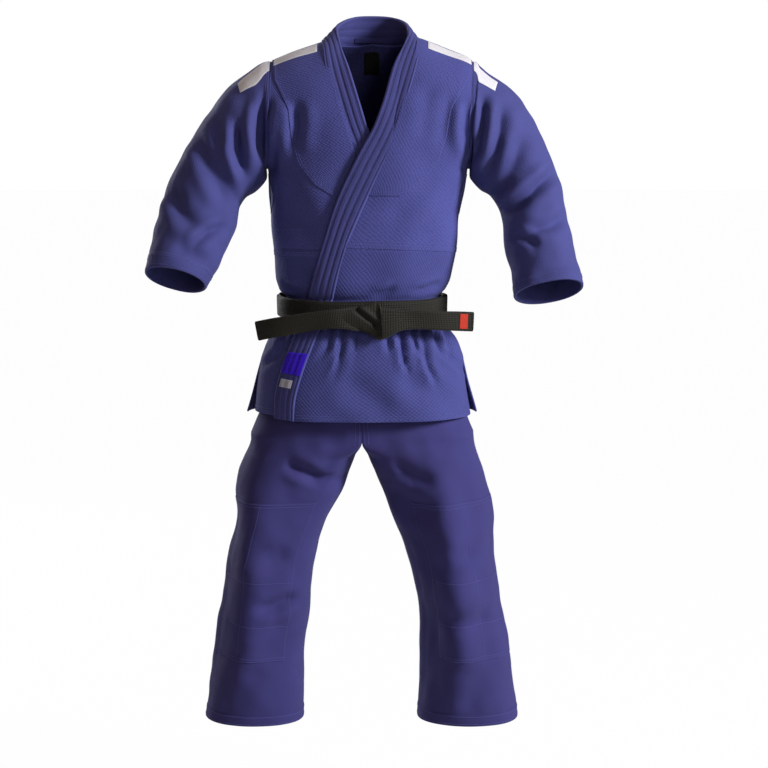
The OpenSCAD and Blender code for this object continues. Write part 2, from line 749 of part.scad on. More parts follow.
back_left_panel();
back_right_panel();
left_front_panel();
right_front_panel();
left_chest_yoke();
right_chest_yoke();
back_yoke();
collar_back();
left_lapel();
right_lapel();
left_armpit_gusset();
right_armpit_gusset();
left_shoulder_tape();
right_shoulder_tape();
neck_label();
hanging_loop();
belt_inner_turn();
belt_outer_turn();
belt_knot();
left_upper_sleeve();
left_lower_sleeve();
left_cuff();
right_upper_sleeve();
right_lower_sleeve();
right_cuff();
over_skirt();
under_skirt();
left_lapel_end();
right_lapel_end();
lapel_patch();
lapel_tab();
back_left_skirt();
back_right_skirt();
back_vent_tapes();
left_tail();
left_tail_mark();
right_tail();
waistband();
drawstring();
hip_front();
hip_back();
crotch_gusset();
left_leg_front();
left_leg_back();
left_knee_patch();
left_leg_hem();
right_leg_front();
right_leg_back();
right_knee_patch();
right_leg_hem();
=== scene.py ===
import json
import math

import bmesh
import bpy
import numpy as np
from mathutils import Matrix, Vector


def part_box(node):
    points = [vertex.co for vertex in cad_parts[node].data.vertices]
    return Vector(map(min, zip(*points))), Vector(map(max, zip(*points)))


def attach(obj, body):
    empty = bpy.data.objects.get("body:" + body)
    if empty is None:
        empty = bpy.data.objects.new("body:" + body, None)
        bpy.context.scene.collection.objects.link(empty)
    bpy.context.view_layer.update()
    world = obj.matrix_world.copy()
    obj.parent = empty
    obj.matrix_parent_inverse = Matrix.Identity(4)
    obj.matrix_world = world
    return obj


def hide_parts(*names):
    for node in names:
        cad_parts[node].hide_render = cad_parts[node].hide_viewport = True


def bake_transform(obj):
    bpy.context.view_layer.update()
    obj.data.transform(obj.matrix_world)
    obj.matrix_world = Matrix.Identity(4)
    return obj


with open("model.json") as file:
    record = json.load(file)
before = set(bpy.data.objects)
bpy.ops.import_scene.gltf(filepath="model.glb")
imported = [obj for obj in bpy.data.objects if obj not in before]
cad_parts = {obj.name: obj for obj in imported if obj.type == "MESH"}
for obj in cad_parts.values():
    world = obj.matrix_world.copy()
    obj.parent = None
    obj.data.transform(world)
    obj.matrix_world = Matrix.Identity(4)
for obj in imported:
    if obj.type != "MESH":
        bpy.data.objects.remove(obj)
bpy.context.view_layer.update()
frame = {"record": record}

MM = 0.001
rng = np.random.default_rng(7)

# ---------------------------------------------------------------- anchors from the frame

joints = {j["name"]: j for j in frame["record"]["behaviour"]["joints"]}
fold_z = joints["front_skirt_lift"]["pos_m"][2] / MM
hem_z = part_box("over_skirt")[0][2] / MM
belt_low, belt_high = (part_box("belt_inner_turn")[k][2] / MM for k in (0, 1))
belt_z = -524
armpit_z = -240

# ---------------------------------------------------------------- curves and surfaces, in mm

ROUND = 2.4          # squareness of the jacket's cross section
LEAN = 22            # sideways shift from the waist up to the neck
OVER = 5             # the over front lies this far outside the under front
CHEST_FRONT, CHEST_BACK = 118, 112
ARMHOLE_X, ARMHOLE_HALF = 203, 88
NECK_X, SHOULDER_Z, SLOPE = 98, 14, 0.37

# Height, half width, front depth and back depth of the jacket, from the hem to the armpit
ROWS = np.array([
    [-752, 224, 134, 131], [-715, 220, 132, 129], [-670, 214, 127, 125], [-625, 204, 121, 119],
    [-594, 192, 115, 110], [-570, 171, 106, 98], [-555, 154, 97, 88], [-503, 154, 97, 88],
    [-488, 168, 104, 95], [-465, 178, 110, 99], [-420, 183, 112, 100], [-360, 188, 114, 103],
    [-300, 194, 116, 108], [-240, 203, 118, 112]], float)


def mix(a, b, t):
    return a + (b - a) * t


def clamp(t):
    return np.clip(t, 0, 1)


def smooth(t):
    t = clamp(t)
    return t * t * (3 - 2 * t)


def unit(v):
    """Vectors scaled to length 1."""
    return v / np.maximum(np.linalg.norm(v, axis=-1, keepdims=True), 1e-9)


def steps_along(p):
    """Distance along a polyline at each of its points."""
    return np.r_[0, np.cumsum(np.linalg.norm(np.diff(p, axis=0), axis=1))]


def path_length(p):
    return float(np.linalg.norm(np.diff(p, axis=0), axis=1).sum())


def lookup(z, rows, k):
    """Monotone cubic through column k of the rows, at heights z."""
    x, y = rows[:, 0], rows[:, k]
    step = np.diff(y) / np.diff(x)
    same = step[:-1] * step[1:] > 0
    slope = np.zeros(len(y))
    slope[1:-1][same] = 2 * step[:-1][same] * step[1:][same] / (step[:-1] + step[1:])[same]
    slope[0], slope[-1] = step[0], step[-1]
    z = np.clip(z, x[0], x[-1])
    i = np.clip(np.searchsorted(x, z) - 1, 0, len(x) - 2)
    h = x[i + 1] - x[i]
    t = (z - x[i]) / h
    return (y[i] * (1 + 2 * t) * (1 - t) ** 2 + y[i + 1] * t * t * (3 - 2 * t)
            + h * t * (1 - t) * (slope[i] * (1 - t) - slope[i + 1] * t))


def curve(points, u):
    """Catmull-Rom curve through points, at places u from 0 to len - 1."""
    p = np.asarray(points, float)
    last = len(p) - 1
    u = np.asarray(u, float)
    i = np.clip(np.floor(u).astype(int), 0, last - 1)
    t = (u - i)[..., None]
    a, b, c, d = p[np.maximum(i - 1, 0)], p[i], p[i + 1], p[np.minimum(i + 2, last)]
    return b + 0.5 * t * ((c - a) + t * ((2 * a - 5 * b + 4 * c - d) + t * (3 * b - a - 3 * c + d)))


def lean_x(z):
    return np.where(z > belt_z, mix(-12, LEAN - 12, (z - belt_z) / -belt_z), -12.0)


def ridge_z(x):
    x = np.abs(x)
    return np.where(x > NECK_X, SHOULDER_Z - SLOPE * (x - NECK_X), SHOULDER_Z + 0.25 * (NECK_X - x))


def hole_depth(q):
    return ARMHOLE_HALF * np.sqrt(np.maximum(0, 4 * q * (1 - q)))


def half_width(z):
    return np.where(z < armpit_z, lookup(z, ROWS, 1), ARMHOLE_X)


def depth(x, z, column=2):
    """Depth of the jacket's front (column 2) or back (column 3) at x and z."""
    s = np.minimum(1, np.abs(x - lean_x(z)) / half_width(z)) ** ROUND
    full = lookup(np.minimum(z, armpit_z), ROWS, column)
    q = clamp((z - armpit_z) / (ridge_z(x - lean_x(z)) - armpit_z))
    body = full * (1 - q ** ROUND) ** (1 / ROUND)
    high = (body ** ROUND * (1 - s) + hole_depth(q) ** ROUND * s) ** (1 / ROUND)
    return np.where(z < armpit_z, full * (1 - s) ** (1 / ROUND), high)


def torso_point(side, w, v):
    """A point at angle w across. v up to 0 is a height below the armpit, over 0 an angle to 90."""
    w, v = np.broadcast_arrays(np.asarray(w, float), np.asarray(v, float))
    column = 2 if side < 0 else 3
    s = np.sign(w) * np.abs(np.sin(np.radians(w))) ** (2 / ROUND)
    edge = np.abs(s) ** ROUND
    cosw = np.cos(np.radians(w)) ** 2
    z_low = armpit_z + np.minimum(v, 0)
    f = np.radians(np.maximum(v, 0))
    q = np.sin(f) ** (2 / ROUND)
    z_high = armpit_z + q * (ridge_z(s * ARMHOLE_X) - armpit_z)
    full = CHEST_FRONT if side < 0 else CHEST_BACK
    body = full * np.maximum(np.cos(f), 0) ** (2 / ROUND)
    y_high = (body ** ROUND * (1 - edge) + hole_depth(q) ** ROUND * edge) ** (1 / ROUND)
    y_low = lookup(z_low, ROWS, column) * cosw ** (1 / ROUND)
    low = v <= 0
    z = np.where(low, z_low, z_high)
    y = np.where(low, y_low, y_high)
    x = lean_x(z) + s * np.where(low, half_width(z_low), ARMHOLE_X)
    return np.stack([x, side * np.maximum(y, 0.2), z], -1)


def angle_at(x, z):
    s = np.clip((x - lean_x(z)) / half_width(z), -1, 1)
    return np.sign(s) * np.degrees(np.arcsin(np.abs(s) ** (ROUND / 2)))


# Edges of the collar and lapel band, from the middle of the back to the hem: x, y, z
LEFT_INNER = [
    [8, 62, 72], [44, 54, 69], [68, 28, 58], [78, 0, 42], [76, -38, 12], [50, -84, -38],
    [30, -108, -105], [12, -117, -156], [-17, -118, -208], [-59, -112, -296], [-88, -100, -388],
    [-114, -80, -480], [-122, -74, -524], [-151, -86, -594], [-171, -84, -646], [-184, -84, -700],
    [-186, -84, -748]]
LEFT_OUTER = [
    [8, 72, 4], [60, 62, 8], [92, 31, 14], [106, -4, 10], [107, -50, -4], [96, -80, -56],
    [68, -100, -150], [52, -112, -190], [20, -116, -256], [-20, -112, -344], [-42, -108, -400],
    [-66, -96, -488], [-74, -92, -528], [-106, -100, -594], [-128, -106, -652], [-143, -109, -706],
    [-146, -112, -752]]
RIGHT_INNER = [
    [8, 62, 72], [-24, 54, 69], [-48, 28, 56], [-58, 0, 40], [-54, -38, 8], [-36, -84, -38],
    [-15, -106, -105], [1, -117, -156], [24, -116, -210], [58, -112, -300], [84, -100, -390],
    [108, -84, -480], [114, -80, -524], [121, -84, -594], [128, -90, -646], [134, -96, -700],
    [138, -98, -740]]
RIGHT_OUTER = [
    [8, 72, 4], [-44, 62, 8], [-76, 30, 14], [-90, -4, 12], [-90, -50, -4], [-84, -80, -50],
    [-66, -104, -112], [-50, -112, -160], [-28, -116, -216], [6, -114, -300], [38, -108, -396],
    [60, -98, -486], [66, -94, -528], [73, -104, -594], [80, -112, -652], [86, -116, -706],
    [90, -120, -742]]
BAND_INNER = np.array(RIGHT_INNER[::-1] + LEFT_INNER[1:], float)
BAND_OUTER = np.array(RIGHT_OUTER[::-1] + LEFT_OUTER[1:], float)
LAST = len(LEFT_INNER) - 1


def band_point(u, v):
    """A point of the band's base: u from -16 (right hem) to 16 (left hem), v 0 at its outer edge."""
    c = mix(curve(BAND_OUTER, u + LAST), curve(BAND_INNER, u + LAST), np.asarray(v)[..., None])
    far = np.abs(u)
    chest = clamp((far - 4) / 3)
    share = np.maximum(chest, (1 - v) * clamp(far - 3.5))
    c[..., 1] = mix(c[..., 1], -depth(c[..., 0], c[..., 2]), share)
    return c


def edge_x(hand, z):
    """Place across the jacket of a band's outer edge at height z."""
    u = np.arange(4, LAST + 0.01, 0.1)
    p = curve(LEFT_OUTER if hand > 0 else RIGHT_OUTER, u)
    order = np.argsort(p[:, 2])
    return np.interp(z, p[order, 2], p[order, 0])


# ---------------------------------------------------------------- folds of the worn cloth

# Each fold: points as x, z; half width; depth; side (-1 front, 1 back)
FOLDS = []


def fold(points, width, deep, side=-1):
    FOLDS.append((np.array(points, float), width, deep, side))


# front of the chest
fold([(-143, -96), (-140, -150), (-150, -214)], 13, 9)
fold([(-196, -86), (-206, -150), (-204, -226)], 11, 10)
fold([(-170, -160), (-190, -210), (-196, -262)], 10, 5)
fold([(206, -100), (200, -160), (206, -222)], 12, 9)
fold([(168, -76), (158, -140), (150, -210)], 16, 5)
fold([(120, -60), (128, -120), (118, -200)], 20, 4)
fold([(150, -235), (100, -300), (30, -352)], 24, 4)
fold([(196, -250), (150, -340), (90, -420)], 30, 5)
fold([(-190, -262), (-150, -330), (-100, -380)], 26, 5)
# cloth bloused over the belt
fold([(158, -470), (120, -484), (84, -490)], 8, 5)
fold([(60, -478), (30, -492), (6, -496)], 8, 4)
fold([(-182, -470), (-150, -486), (-130, -490)], 8, 4)
fold([(-150, -400), (-120, -440), (-104, -480)], 16, 4)
# back
fold([(-120, -80), (-60, -200), (-20, -330)], 26, 6, 1)
fold([(130, -80), (80, -190), (40, -320)], 26, 6, 1)
fold([(190, -220), (130, -330), (90, -440)], 20, 7, 1)
fold([(-190, -220), (-140, -330), (-110, -450)], 20, 7, 1)
fold([(-60, -440), (0, -470), (70, -450)], 12, 5, 1)
# gathers that spread from the belt over the skirt
for x, reach, deep in ((36, 48, 5), (62, 74, 7), (84, 52, 6), (104, 92, 7), (126, 60, 6),
                       (146, 78, 5), (-18, 60, 4), (-46, 84, 5), (-66, 52, 4), (-150, 70, 4)):
    fold([(x, -520), (x + 0.2 * (x - 10), -548 - reach), (x + 0.5 * (x - 10), -548 - 1.6 * reach)],
         6, 0.95 * deep)
for x, reach in ((-130, 90), (-85, 60), (-40, 100), (5, 70), (50, 95), (95, 64), (135, 80)):
    fold([(x, -520), (1.15 * x, -548 - reach), (1.3 * x, -548 - 1.5 * reach)], 8, 6, 1)
fold([(60, -640), (110, -690), (190, -700)], 22, 5)
fold([(-60, -650), (0, -700), (60, -735)], 26, 5)
# sleeves, front
fold([(-214, -92), (-222, -160), (-214, -232)], 10, 12)
fold([(-262, -130), (-262, -200), (-246, -270)], 11, 11)
fold([(-350, -160), (-306, -262), (-268, -330)], 15, 9)
fold([(-300, -130), (-300, -220), (-270, -300)], 12, 5)
fold([(-404, -262), (-372, -330), (-330, -370)], 16, 7)
fold([(-390, -382), (-352, -410), (-320, -440)], 16, 5)
fold([(-280, -350), (-320, -366), (-360, -400)], 10, 6)
fold([(236, -80), (232, -150), (222, -232)], 11, 12)
fold([(274, -100), (262, -190), (238, -276)], 13, 9)
fold([(392, -234), (338, -282), (270, -340)], 13, 13)
fold([(320, -150), (300, -220), (256, -300)], 16, 5)
fold([(412, -330), (372, -352), (318, -372)], 13, 9)
fold([(350, -398), (322, -380), (290, -372)], 10, 6)
fold([(424, -410), (380, -440), (330, -470)], 18, 5)
# sleeves, back
for hand in (-1, 1):
    fold([(hand * 230, -90), (hand * 228, -160), (hand * 220, -230)], 12, 10, 1)
    fold([(hand * 300, -120), (hand * 280, -200), (hand * 244, -280)], 15, 7, 1)
    fold([(hand * 400, -260), (hand * 340, -310), (hand * 280, -350)], 15, 10, 1)
    fold([(hand * 420, -360), (hand * 360, -390), (hand * 300, -400)], 15, 7, 1)
# trousers
fold([(-176, -840), (-130, -856), (-84, -884)], 12, 9)
fold([(-40, -826), (-90, -870), (-150, -890)], 22, 6)
fold([(40, -838), (96, -872), (150, -880)], 16, 7)
fold([(36, -880), (90, -930), (150, -950)], 22, 5)
fold([(-238, -1150), (-190, -1142), (-140, -1122)], 14, 8)
fold([(-250, -1010), (-200, -1040), (-150, -1030)], 24, 6)
fold([(226, -1010), (180, -1060), (130, -1070)], 22, 6)
fold([(270, -1160), (220, -1180), (150, -1160)], 22, 6)
fold([(200, -1250), (216, -1330), (222, -1400)], 26, 6)
fold([(-240, -1250), (-252, -1330), (-262, -1400)], 26, 6)
# the worn ridge down the front of each leg
fold([(-205, -830), (-222, -900), (-236, -1050), (-246, -1200), (-258, -1470)], 34, -13)
fold([(120, -780), (146, -870), (176, -1020), (196, -1200), (208, -1470)], 34, -17)
for hand in (-1, 1):
    fold([(hand * 60, -820), (hand * 120, -900), (hand * 190, -930)], 22, 8, 1)
    fold([(hand * 110, -1000), (hand * 170, -1050), (hand * 240, -1060)], 20, 7, 1)
    fold([(hand * 140, -1120), (hand * 200, -1160), (hand * 270, -1140)], 24, 7, 1)
    fold([(hand * 170, -1200), (hand * 200, -1300), (hand * 210, -1400)], 26, 6, 1)


def polyline_distance(x, z, points):
    """Signed distance to a polyline and the place along it from 0 to 1, for arrays x and z."""
    best = np.full(x.shape, 1e9)
    signed, place = np.zeros(x.shape), np.zeros(x.shape)
    length = steps_along(points)
    for k in range(len(points) - 1):
        a, b = points[k], points[k + 1]
        d = b - a
        size = math.hypot(*d)
        t = clamp(((x - a[0]) * d[0] + (z - a[1]) * d[1]) / size ** 2)
        dx, dz = x - a[0] - t * d[0], z - a[1] - t * d[1]
        far = np.hypot(dx, dz)
        near = far < best
        best = np.where(near, far, best)
        signed = np.where(near, np.sign(dx * d[1] - dz * d[0]) * far, signed)
        place = np.where(near, (length[k] + t * size) / length[-1], place)
    return signed, place


WAVES = [(rng.normal(0, 1, 3) * [1, 0.8, 0.7], rng.uniform(0, 6.28)) for _ in range(18)]


def unevenness(p, size):
    """Soft irregular swell of about -1 to 1 over points p in mm, with bumps about `size` across."""
    total = np.zeros(p.shape[:-1])
    for k, (way, start) in enumerate(WAVES):
        total += np.sin(p @ way * (2.2 + 0.12 * k) / size + start + 1.3 * math.sin(k))
    return total / math.sqrt(len(WAVES))


def fold_depth(p, side):
    """How far the cloth moves along its outward normal at points p, for the front or the back."""
    x, z = p[..., 0], p[..., 2]
    out = np.zeros(x.shape)
    for points, width, deep, where in FOLDS:
        if where != side:
            continue
        d, t = polyline_distance(x, z, points)
        taper = smooth(t / 0.3) * smooth((1 - t) / 0.3)
        beyond = np.exp(-np.maximum(0, np.abs(d) - 4 * width) / width)
        a = d / width
        out += 1.25 * deep * taper * beyond * (-np.exp(-a * a) + 0.5 * np.exp(-(a - 1.9) ** 2)
                                        + 0.35 * np.exp(-(a + 1.9) ** 2 / 1.5))
    return out


# ---------------------------------------------------------------- meshes from grids

def normals_of(g, ring=False):
    """Outward unit normals of a grid whose columns run counter-clockwise seen from outside."""
    up = np.gradient(g, axis=0)
    along = (np.roll(g, -1, 1) - np.roll(g, 1, 1)) if ring else np.gradient(g, axis=1)
    return unit(np.cross(along, up))


def spread(g, ring=False):
    """Lengths across and up a grid, in metres, for its UV map."""
    across = np.linalg.norm(np.diff(g, axis=1), axis=-1).mean(0)
    if ring:
        across = np.r_[across, np.linalg.norm(g[:, 0] - g[:, -1], axis=-1).mean()]
    up = np.linalg.norm(np.diff(g, axis=0), axis=-1).mean(1)
    return np.r_[0, np.cumsum(across)] * MM, np.r_[0, np.cumsum(up)] * MM


def sheet_mesh(name, g, ring=False):
    """A one-layer mesh from a grid in mm, with a UV map in metres."""
    n, m = g.shape[:2]
    span = m if ring else m - 1
    i, j = np.meshgrid(np.arange(n - 1), np.arange(span), indexing="ij")
    k = (j + 1) % m
    faces = np.stack([i * m + j, i * m + k, (i + 1) * m + k, (i + 1) * m + j], -1).reshape(-1, 4)
    u, v = spread(g, ring)
    uv = np.stack([np.stack([u[j], v[i]], -1), np.stack([u[j + 1], v[i]], -1),
                   np.stack([u[j + 1], v[i + 1]], -1), np.stack([u[j], v[i + 1]], -1)], -2)
    return mesh_object(name, g.reshape(-1, 3) * MM, faces.tolist(), uv.reshape(-1, 2))


def mesh_object(name, points, faces, uv=None):
    mesh = bpy.data.meshes.new(name)
    mesh.from_pydata(np.asarray(points).tolist(), [], faces)
    if uv is not None:
        layer = mesh.uv_layers.new(name="cloth")
        layer.data.foreach_set("uv", np.asarray(uv, np.float32).ravel())
    mesh.polygons.foreach_set("use_smooth", [True] * len(mesh.polygons))
    mesh.update()
    obj = bpy.data.objects.new(name, mesh)
    bpy.context.scene.collection.objects.link(obj)
    return obj


def apply_modifiers(obj):
    bpy.context.view_layer.update()
    graph = bpy.context.evaluated_depsgraph_get()
    mesh = bpy.data.meshes.new_from_object(obj.evaluated_get(graph), depsgraph=graph)
    old = obj.data
    obj.modifiers.clear()
    obj.data = mesh
    bpy.data.meshes.remove(old)


def face_outward(obj, change=None):
    """Turns a mesh's normals outward, after an optional change to it as a bmesh."""
    shell = bmesh.new()
    shell.from_mesh(obj.data)
    if change:
        change(shell)
    bmesh.ops.recalc_face_normals(shell, faces=shell.faces)
    shell.to_mesh(obj.data)
    shell.free()


def thicken(obj, thickness, bevel, subdivide=0):
    """Gives a one-layer cloth its real thickness, with rounded edges."""
    solid = obj.modifiers.new("thickness", "SOLIDIFY")
    solid.thickness = thickness * MM
    solid.offset = 0
    solid.use_even_offset = False
    soft = obj.modifiers.new("edge", "BEVEL")
    soft.width = bevel * MM
    soft.segments = 2
    soft.limit_method = "ANGLE"
    soft.angle_limit = math.radians(50)
    if subdivide:
        obj.modifiers.new("fine", "SUBSURF").levels = subdivide
    apply_modifiers(obj)
    face_outward(obj)


def sample(g, i, j):
    """Points of a grid at fractional rows i and columns j."""
    n, m = g.shape[:2]
    i, j = np.clip(i, 0, n - 1.001), np.clip(j, 0, m - 1.001)
    a, b = np.floor(i).astype(int), np.floor(j).astype(int)
    s, t = (i - a)[..., None], (j - b)[..., None]
    return (g[a, b] * (1 - s) * (1 - t) + g[a + 1, b] * s * (1 - t)
            + g[a, b + 1] * (1 - s) * t + g[a + 1, b + 1] * s * t)


# ---------------------------------------------------------------- materials

def node_material(name):
    mat = bpy.data.materials.new(name)
    mat.use_nodes = True
    nodes, links = mat.node_tree.nodes, mat.node_tree.links
    shader = nodes["Principled BSDF"]
    return mat, nodes, links, shader


def math_node(nodes, links, operation, a, b=None, c=None):
    node = nodes.new("ShaderNodeMath")
    node.operation = operation
    for socket, value in zip(node.inputs, (a, b, c)):
        if value is None:
            continue
        if isinstance(value, (int, float)):
            socket.default_value = value
        else:
            links.new(value, socket)
    return node.outputs[0]


TURN = 6.2832


def cloth_material(name, colour, shade_and_mottle, weave, pitch, bump, roughness=0.86, sheen=0.08, wear=0.25,
                   relief_shade=0.35):
    """Woven cotton. weave is rice, diamond, plain or rib; pitch is the size of one grain in metres."""
    mat, nodes, links, shader = node_material(name)
    uv = nodes.new("ShaderNodeUVMap")
    uv.uv_map = "cloth"
    turn = nodes.new("ShaderNodeMapping")
    turn.vector_type = "POINT"
    angle = {"rice": 45, "diamond": 45, "plain": 0, "rib": 0}[weave]
    turn.inputs["Rotation"].default_value[2] = math.radians(angle)
    turn.inputs["Scale"].default_value = (1 / pitch, 1 / pitch, 1)
    links.new(uv.outputs["UV"], turn.inputs["Vector"])
    if weave in ("rice", "diamond"):
        grain = nodes.new("ShaderNodeTexVoronoi")
        grain.voronoi_dimensions = "2D"
        grain.feature = "F1"
        grain.distance = "MANHATTAN" if weave == "diamond" else "EUCLIDEAN"
        grain.inputs["Scale"].default_value = 1
        grain.inputs["Randomness"].default_value = 0.12 if weave == "diamond" else 0.28
        links.new(turn.outputs["Vector"], grain.inputs["Vector"])
        height = math_node(nodes, links, "SUBTRACT", 1.0, grain.outputs["Distance"])
    else:
        parts = nodes.new("ShaderNodeSeparateXYZ")
        links.new(turn.outputs["Vector"], parts.inputs["Vector"])
        warp, weft = (math_node(nodes, links, "SINE", math_node(
            nodes, links, "MULTIPLY", parts.outputs[axis], TURN)) for axis in "XY")
        if weave == "plain":
            height = math_node(nodes, links, "MULTIPLY", warp, weft)
        else:
            height = math_node(nodes, links, "MULTIPLY_ADD", warp, 0.15, weft)
        height = math_node(nodes, links, "MULTIPLY_ADD", height, 0.5, 0.5)
    # threads of uneven thickness, and the soft unevenness of worn, washed cloth
    place = nodes.new("ShaderNodeTexCoord")
    fine = nodes.new("ShaderNodeTexNoise")
    fine.inputs["Scale"].default_value = 420
    fine.inputs["Detail"].default_value = 3
    links.new(place.outputs["Object"], fine.inputs["Vector"])
    broad = nodes.new("ShaderNodeTexNoise")
    broad.inputs["Scale"].default_value = 9
    broad.inputs["Detail"].default_value = 5
    broad.inputs["Roughness"].default_value = 0.6
    links.new(place.outputs["Object"], broad.inputs["Vector"])
    height = math_node(nodes, links, "MULTIPLY_ADD", fine.outputs["Fac"], 0.35, height)
    # colour: painted shade, dark in the hollows between the grains and light on their tops, with a random
    # mottle from the broad noise; faded on ridges and edges
    tone = nodes.new("ShaderNodeMix")
    tone.data_type = "RGBA"
    tone.inputs["A"].default_value = (*shade_and_mottle, 1)
    tone.inputs["B"].default_value = (*colour, 1)
    # the weave's height sets the painted shade: its low hollows move towards the dark shade colour
    shade = math_node(nodes, links, "MULTIPLY_ADD", height, relief_shade, 0.78 - relief_shade * 0.6)
    shade = math_node(nodes, links, "SUBTRACT", shade, 0.25)
    shade = math_node(nodes, links, "MULTIPLY_ADD", broad.outputs["Fac"], 0.5, shade)
    links.new(shade, tone.inputs["Factor"])
    geometry = nodes.new("ShaderNodeNewGeometry")
    ridge = nodes.new("ShaderNodeMapRange")
    ridge.inputs["From Min"].default_value = 0.51
    ridge.inputs["From Max"].default_value = 0.62
    ridge.inputs["To Max"].default_value = wear
    links.new(geometry.outputs["Pointiness"], ridge.inputs["Value"])
    faded = nodes.new("ShaderNodeMix")
    faded.data_type = "RGBA"
    pale = [min(1, c * 1.5 + 0.02) for c in colour]
    faded.inputs["B"].default_value = (*pale, 1)
    links.new(tone.outputs["Result"], faded.inputs["A"])
    links.new(ridge.outputs["Result"], faded.inputs["Factor"])
    links.new(faded.outputs["Result"], shader.inputs["Base Color"])
    lift = nodes.new("ShaderNodeBump")
    lift.inputs["Strength"].default_value = bump
    lift.inputs["Distance"].default_value = 0.0012
    links.new(height, lift.inputs["Height"])
    links.new(lift.outputs["Normal"], shader.inputs["Normal"])
    rough = math_node(nodes, links, "MULTIPLY_ADD", broad.outputs["Fac"], 0.12, roughness - 0.06)
    links.new(rough, shader.inputs["Roughness"])
    shader.inputs["Sheen Weight"].default_value = sheen
    shader.inputs["Sheen Roughness"].default_value = 0.45
    shader.inputs["Sheen Tint"].default_value = (0.55, 0.6, 1, 1)
    shader.inputs["Specular IOR Level"].default_value = 0.25
    return mat


BLUE = (0.053, 0.060, 0.245)
# shade painted in the weave's hollows, also the dark end of the cloth's random mottle
SHADE_AND_MOTTLE_BLUE = (0.012, 0.009, 0.060)
SKIRT_BLUE, SLEEVE_BLUE = (0.050, 0.058, 0.236), (0.046, 0.051, 0.205)
# Each material: its cloth, and the name of its slot
# the second colour of each cloth is the shade painted in its weave's hollows and the dark end of its mottle
CLOTHS = {
    "jacket": (("pearl_weave_cotton", BLUE, SHADE_AND_MOTTLE_BLUE, "rice", 0.0052, 0.8),
               {"relief_shade": 0.7}, "jacket_cloth"),
    "skirt": (("diamond_weave_cotton", SKIRT_BLUE, SHADE_AND_MOTTLE_BLUE, "diamond", 0.0054, 0.6),
              {"relief_shade": 0.55}, "skirt_cloth"),
    "sleeve": (("sleeve_weave_cotton", SLEEVE_BLUE, (0.018, 0.014, 0.072), "rice", 0.0032, 0.6),
               {"relief_shade": 0.5}, "sleeve_cloth"),
    "lapel": (("lapel_twill", SLEEVE_BLUE, (0.020, 0.015, 0.08), "rib", 0.0016, 0.3),
              {"relief_shade": 0.2}, "lapel_cloth"),
    "trouser": (("cotton_drill", (0.038, 0.036, 0.172), (0.013, 0.008, 0.046), "plain", 0.0016, 0.3),
                {"relief_shade": 0.2}, "trouser_cloth"),
    "thread": (("stitching_thread", (0.10, 0.105, 0.36), (0.05, 0.05, 0.22), "rib", 0.0008, 0.2),
               {"wear": 0.1}, None),
    "belt": (("black_satin_cotton", (0.010, 0.010, 0.0075), (0.002, 0.002, 0.0015), "rib", 0.0034, 0.5),
             {"roughness": 0.62, "sheen": 0.02, "wear": 0.3}, "belt_cloth"),
    "tape": (("white_tape", (0.60, 0.60, 0.66), (0.38, 0.37, 0.45), "rib", 0.0012, 0.3),
             {"relief_shade": 0.2}, "shoulder_tape"),
    "label": (("black_label", (0.012, 0.012, 0.013), (0.004, 0.004, 0.004), "plain", 0.0008, 0.2),
              {}, "label_cloth"),
    "patch": (("bright_blue_patch", (0.035, 0.006, 0.58), (0.012, 0.002, 0.26), "plain", 0.0012, 0.3),
              {}, "patch_cloth"),
    "tab": (("grey_tab", (0.36, 0.36, 0.44), (0.2, 0.2, 0.27), "rib", 0.001, 0.3), {}, "tab_cloth"),
    "mark": (("red_embroidery", (0.55, 0.045, 0.025), (0.22, 0.012, 0.008), "rib", 0.0012, 0.5),
             {}, "mark_cloth"),
    "cord": (("cotton_cord", (0.7, 0.68, 0.6), (0.45, 0.43, 0.38), "diamond", 0.002, 0.5),
             {}, "cord_cotton"),
}
MATERIALS = {key: cloth_material(*values, **options) for key, (values, options, _) in CLOTHS.items()}


def finish_piece(obj, material):
    obj.data.materials.clear()
    obj.data.materials.append(MATERIALS[material])
    return obj


# ---------------------------------------------------------------- camera, light and floor

camera_data = bpy.data.cameras.new("camera")
camera_data.lens = 90.1
camera_data.sensor_width = 36
camera = bpy.data.objects.new("camera", camera_data)
bpy.context.scene.collection.objects.link(camera)
camera.location = (0.0336, -4.0, -0.15)
aim = Vector((0.0336, 0, -0.691)) - camera.location
camera.rotation_euler = aim.to_track_quat("-Z", "Y").to_euler()
bpy.context.scene.camera = camera


def area_light(name, place, target, size, power, tint=(1, 1, 1)):
    data = bpy.data.lights.new(name, "AREA")
    data.shape = "RECTANGLE"
    data.size, data.size_y = size
    data.energy = power
    data.color = tint
    obj = bpy.data.objects.new(name, data)
    bpy.context.scene.collection.objects.link(obj)
    obj.location = place
    obj.rotation_euler = (Vector(target) - Vector(place)).to_track_quat("-Z", "Y").to_euler()


area_light("key", (3.9, -1.9, 1.2), (0.1, 0, -0.6), (0.8, 1.3), 330, (1, 0.985, 0.96))
area_light("front", (1.4, -4.2, 0.6), (0.1, 0, -0.6), (0.9, 1.4), 26, (1, 0.9, 0.8))
area_light("left", (-3.8, -1.2, 0.8), (0, 0, -0.5), (0.8, 2.0), 20, (1, 0.72, 0.52))
area_light("top", (-0.2, 0.2, 2.4), (0, 0, -0.4), (1.4, 1.4), 16, (1, 0.9, 0.8))
area_light("back", (-2.2, 3.0, 0.5), (0, 0, -0.6), (1.6, 2.2), 100)

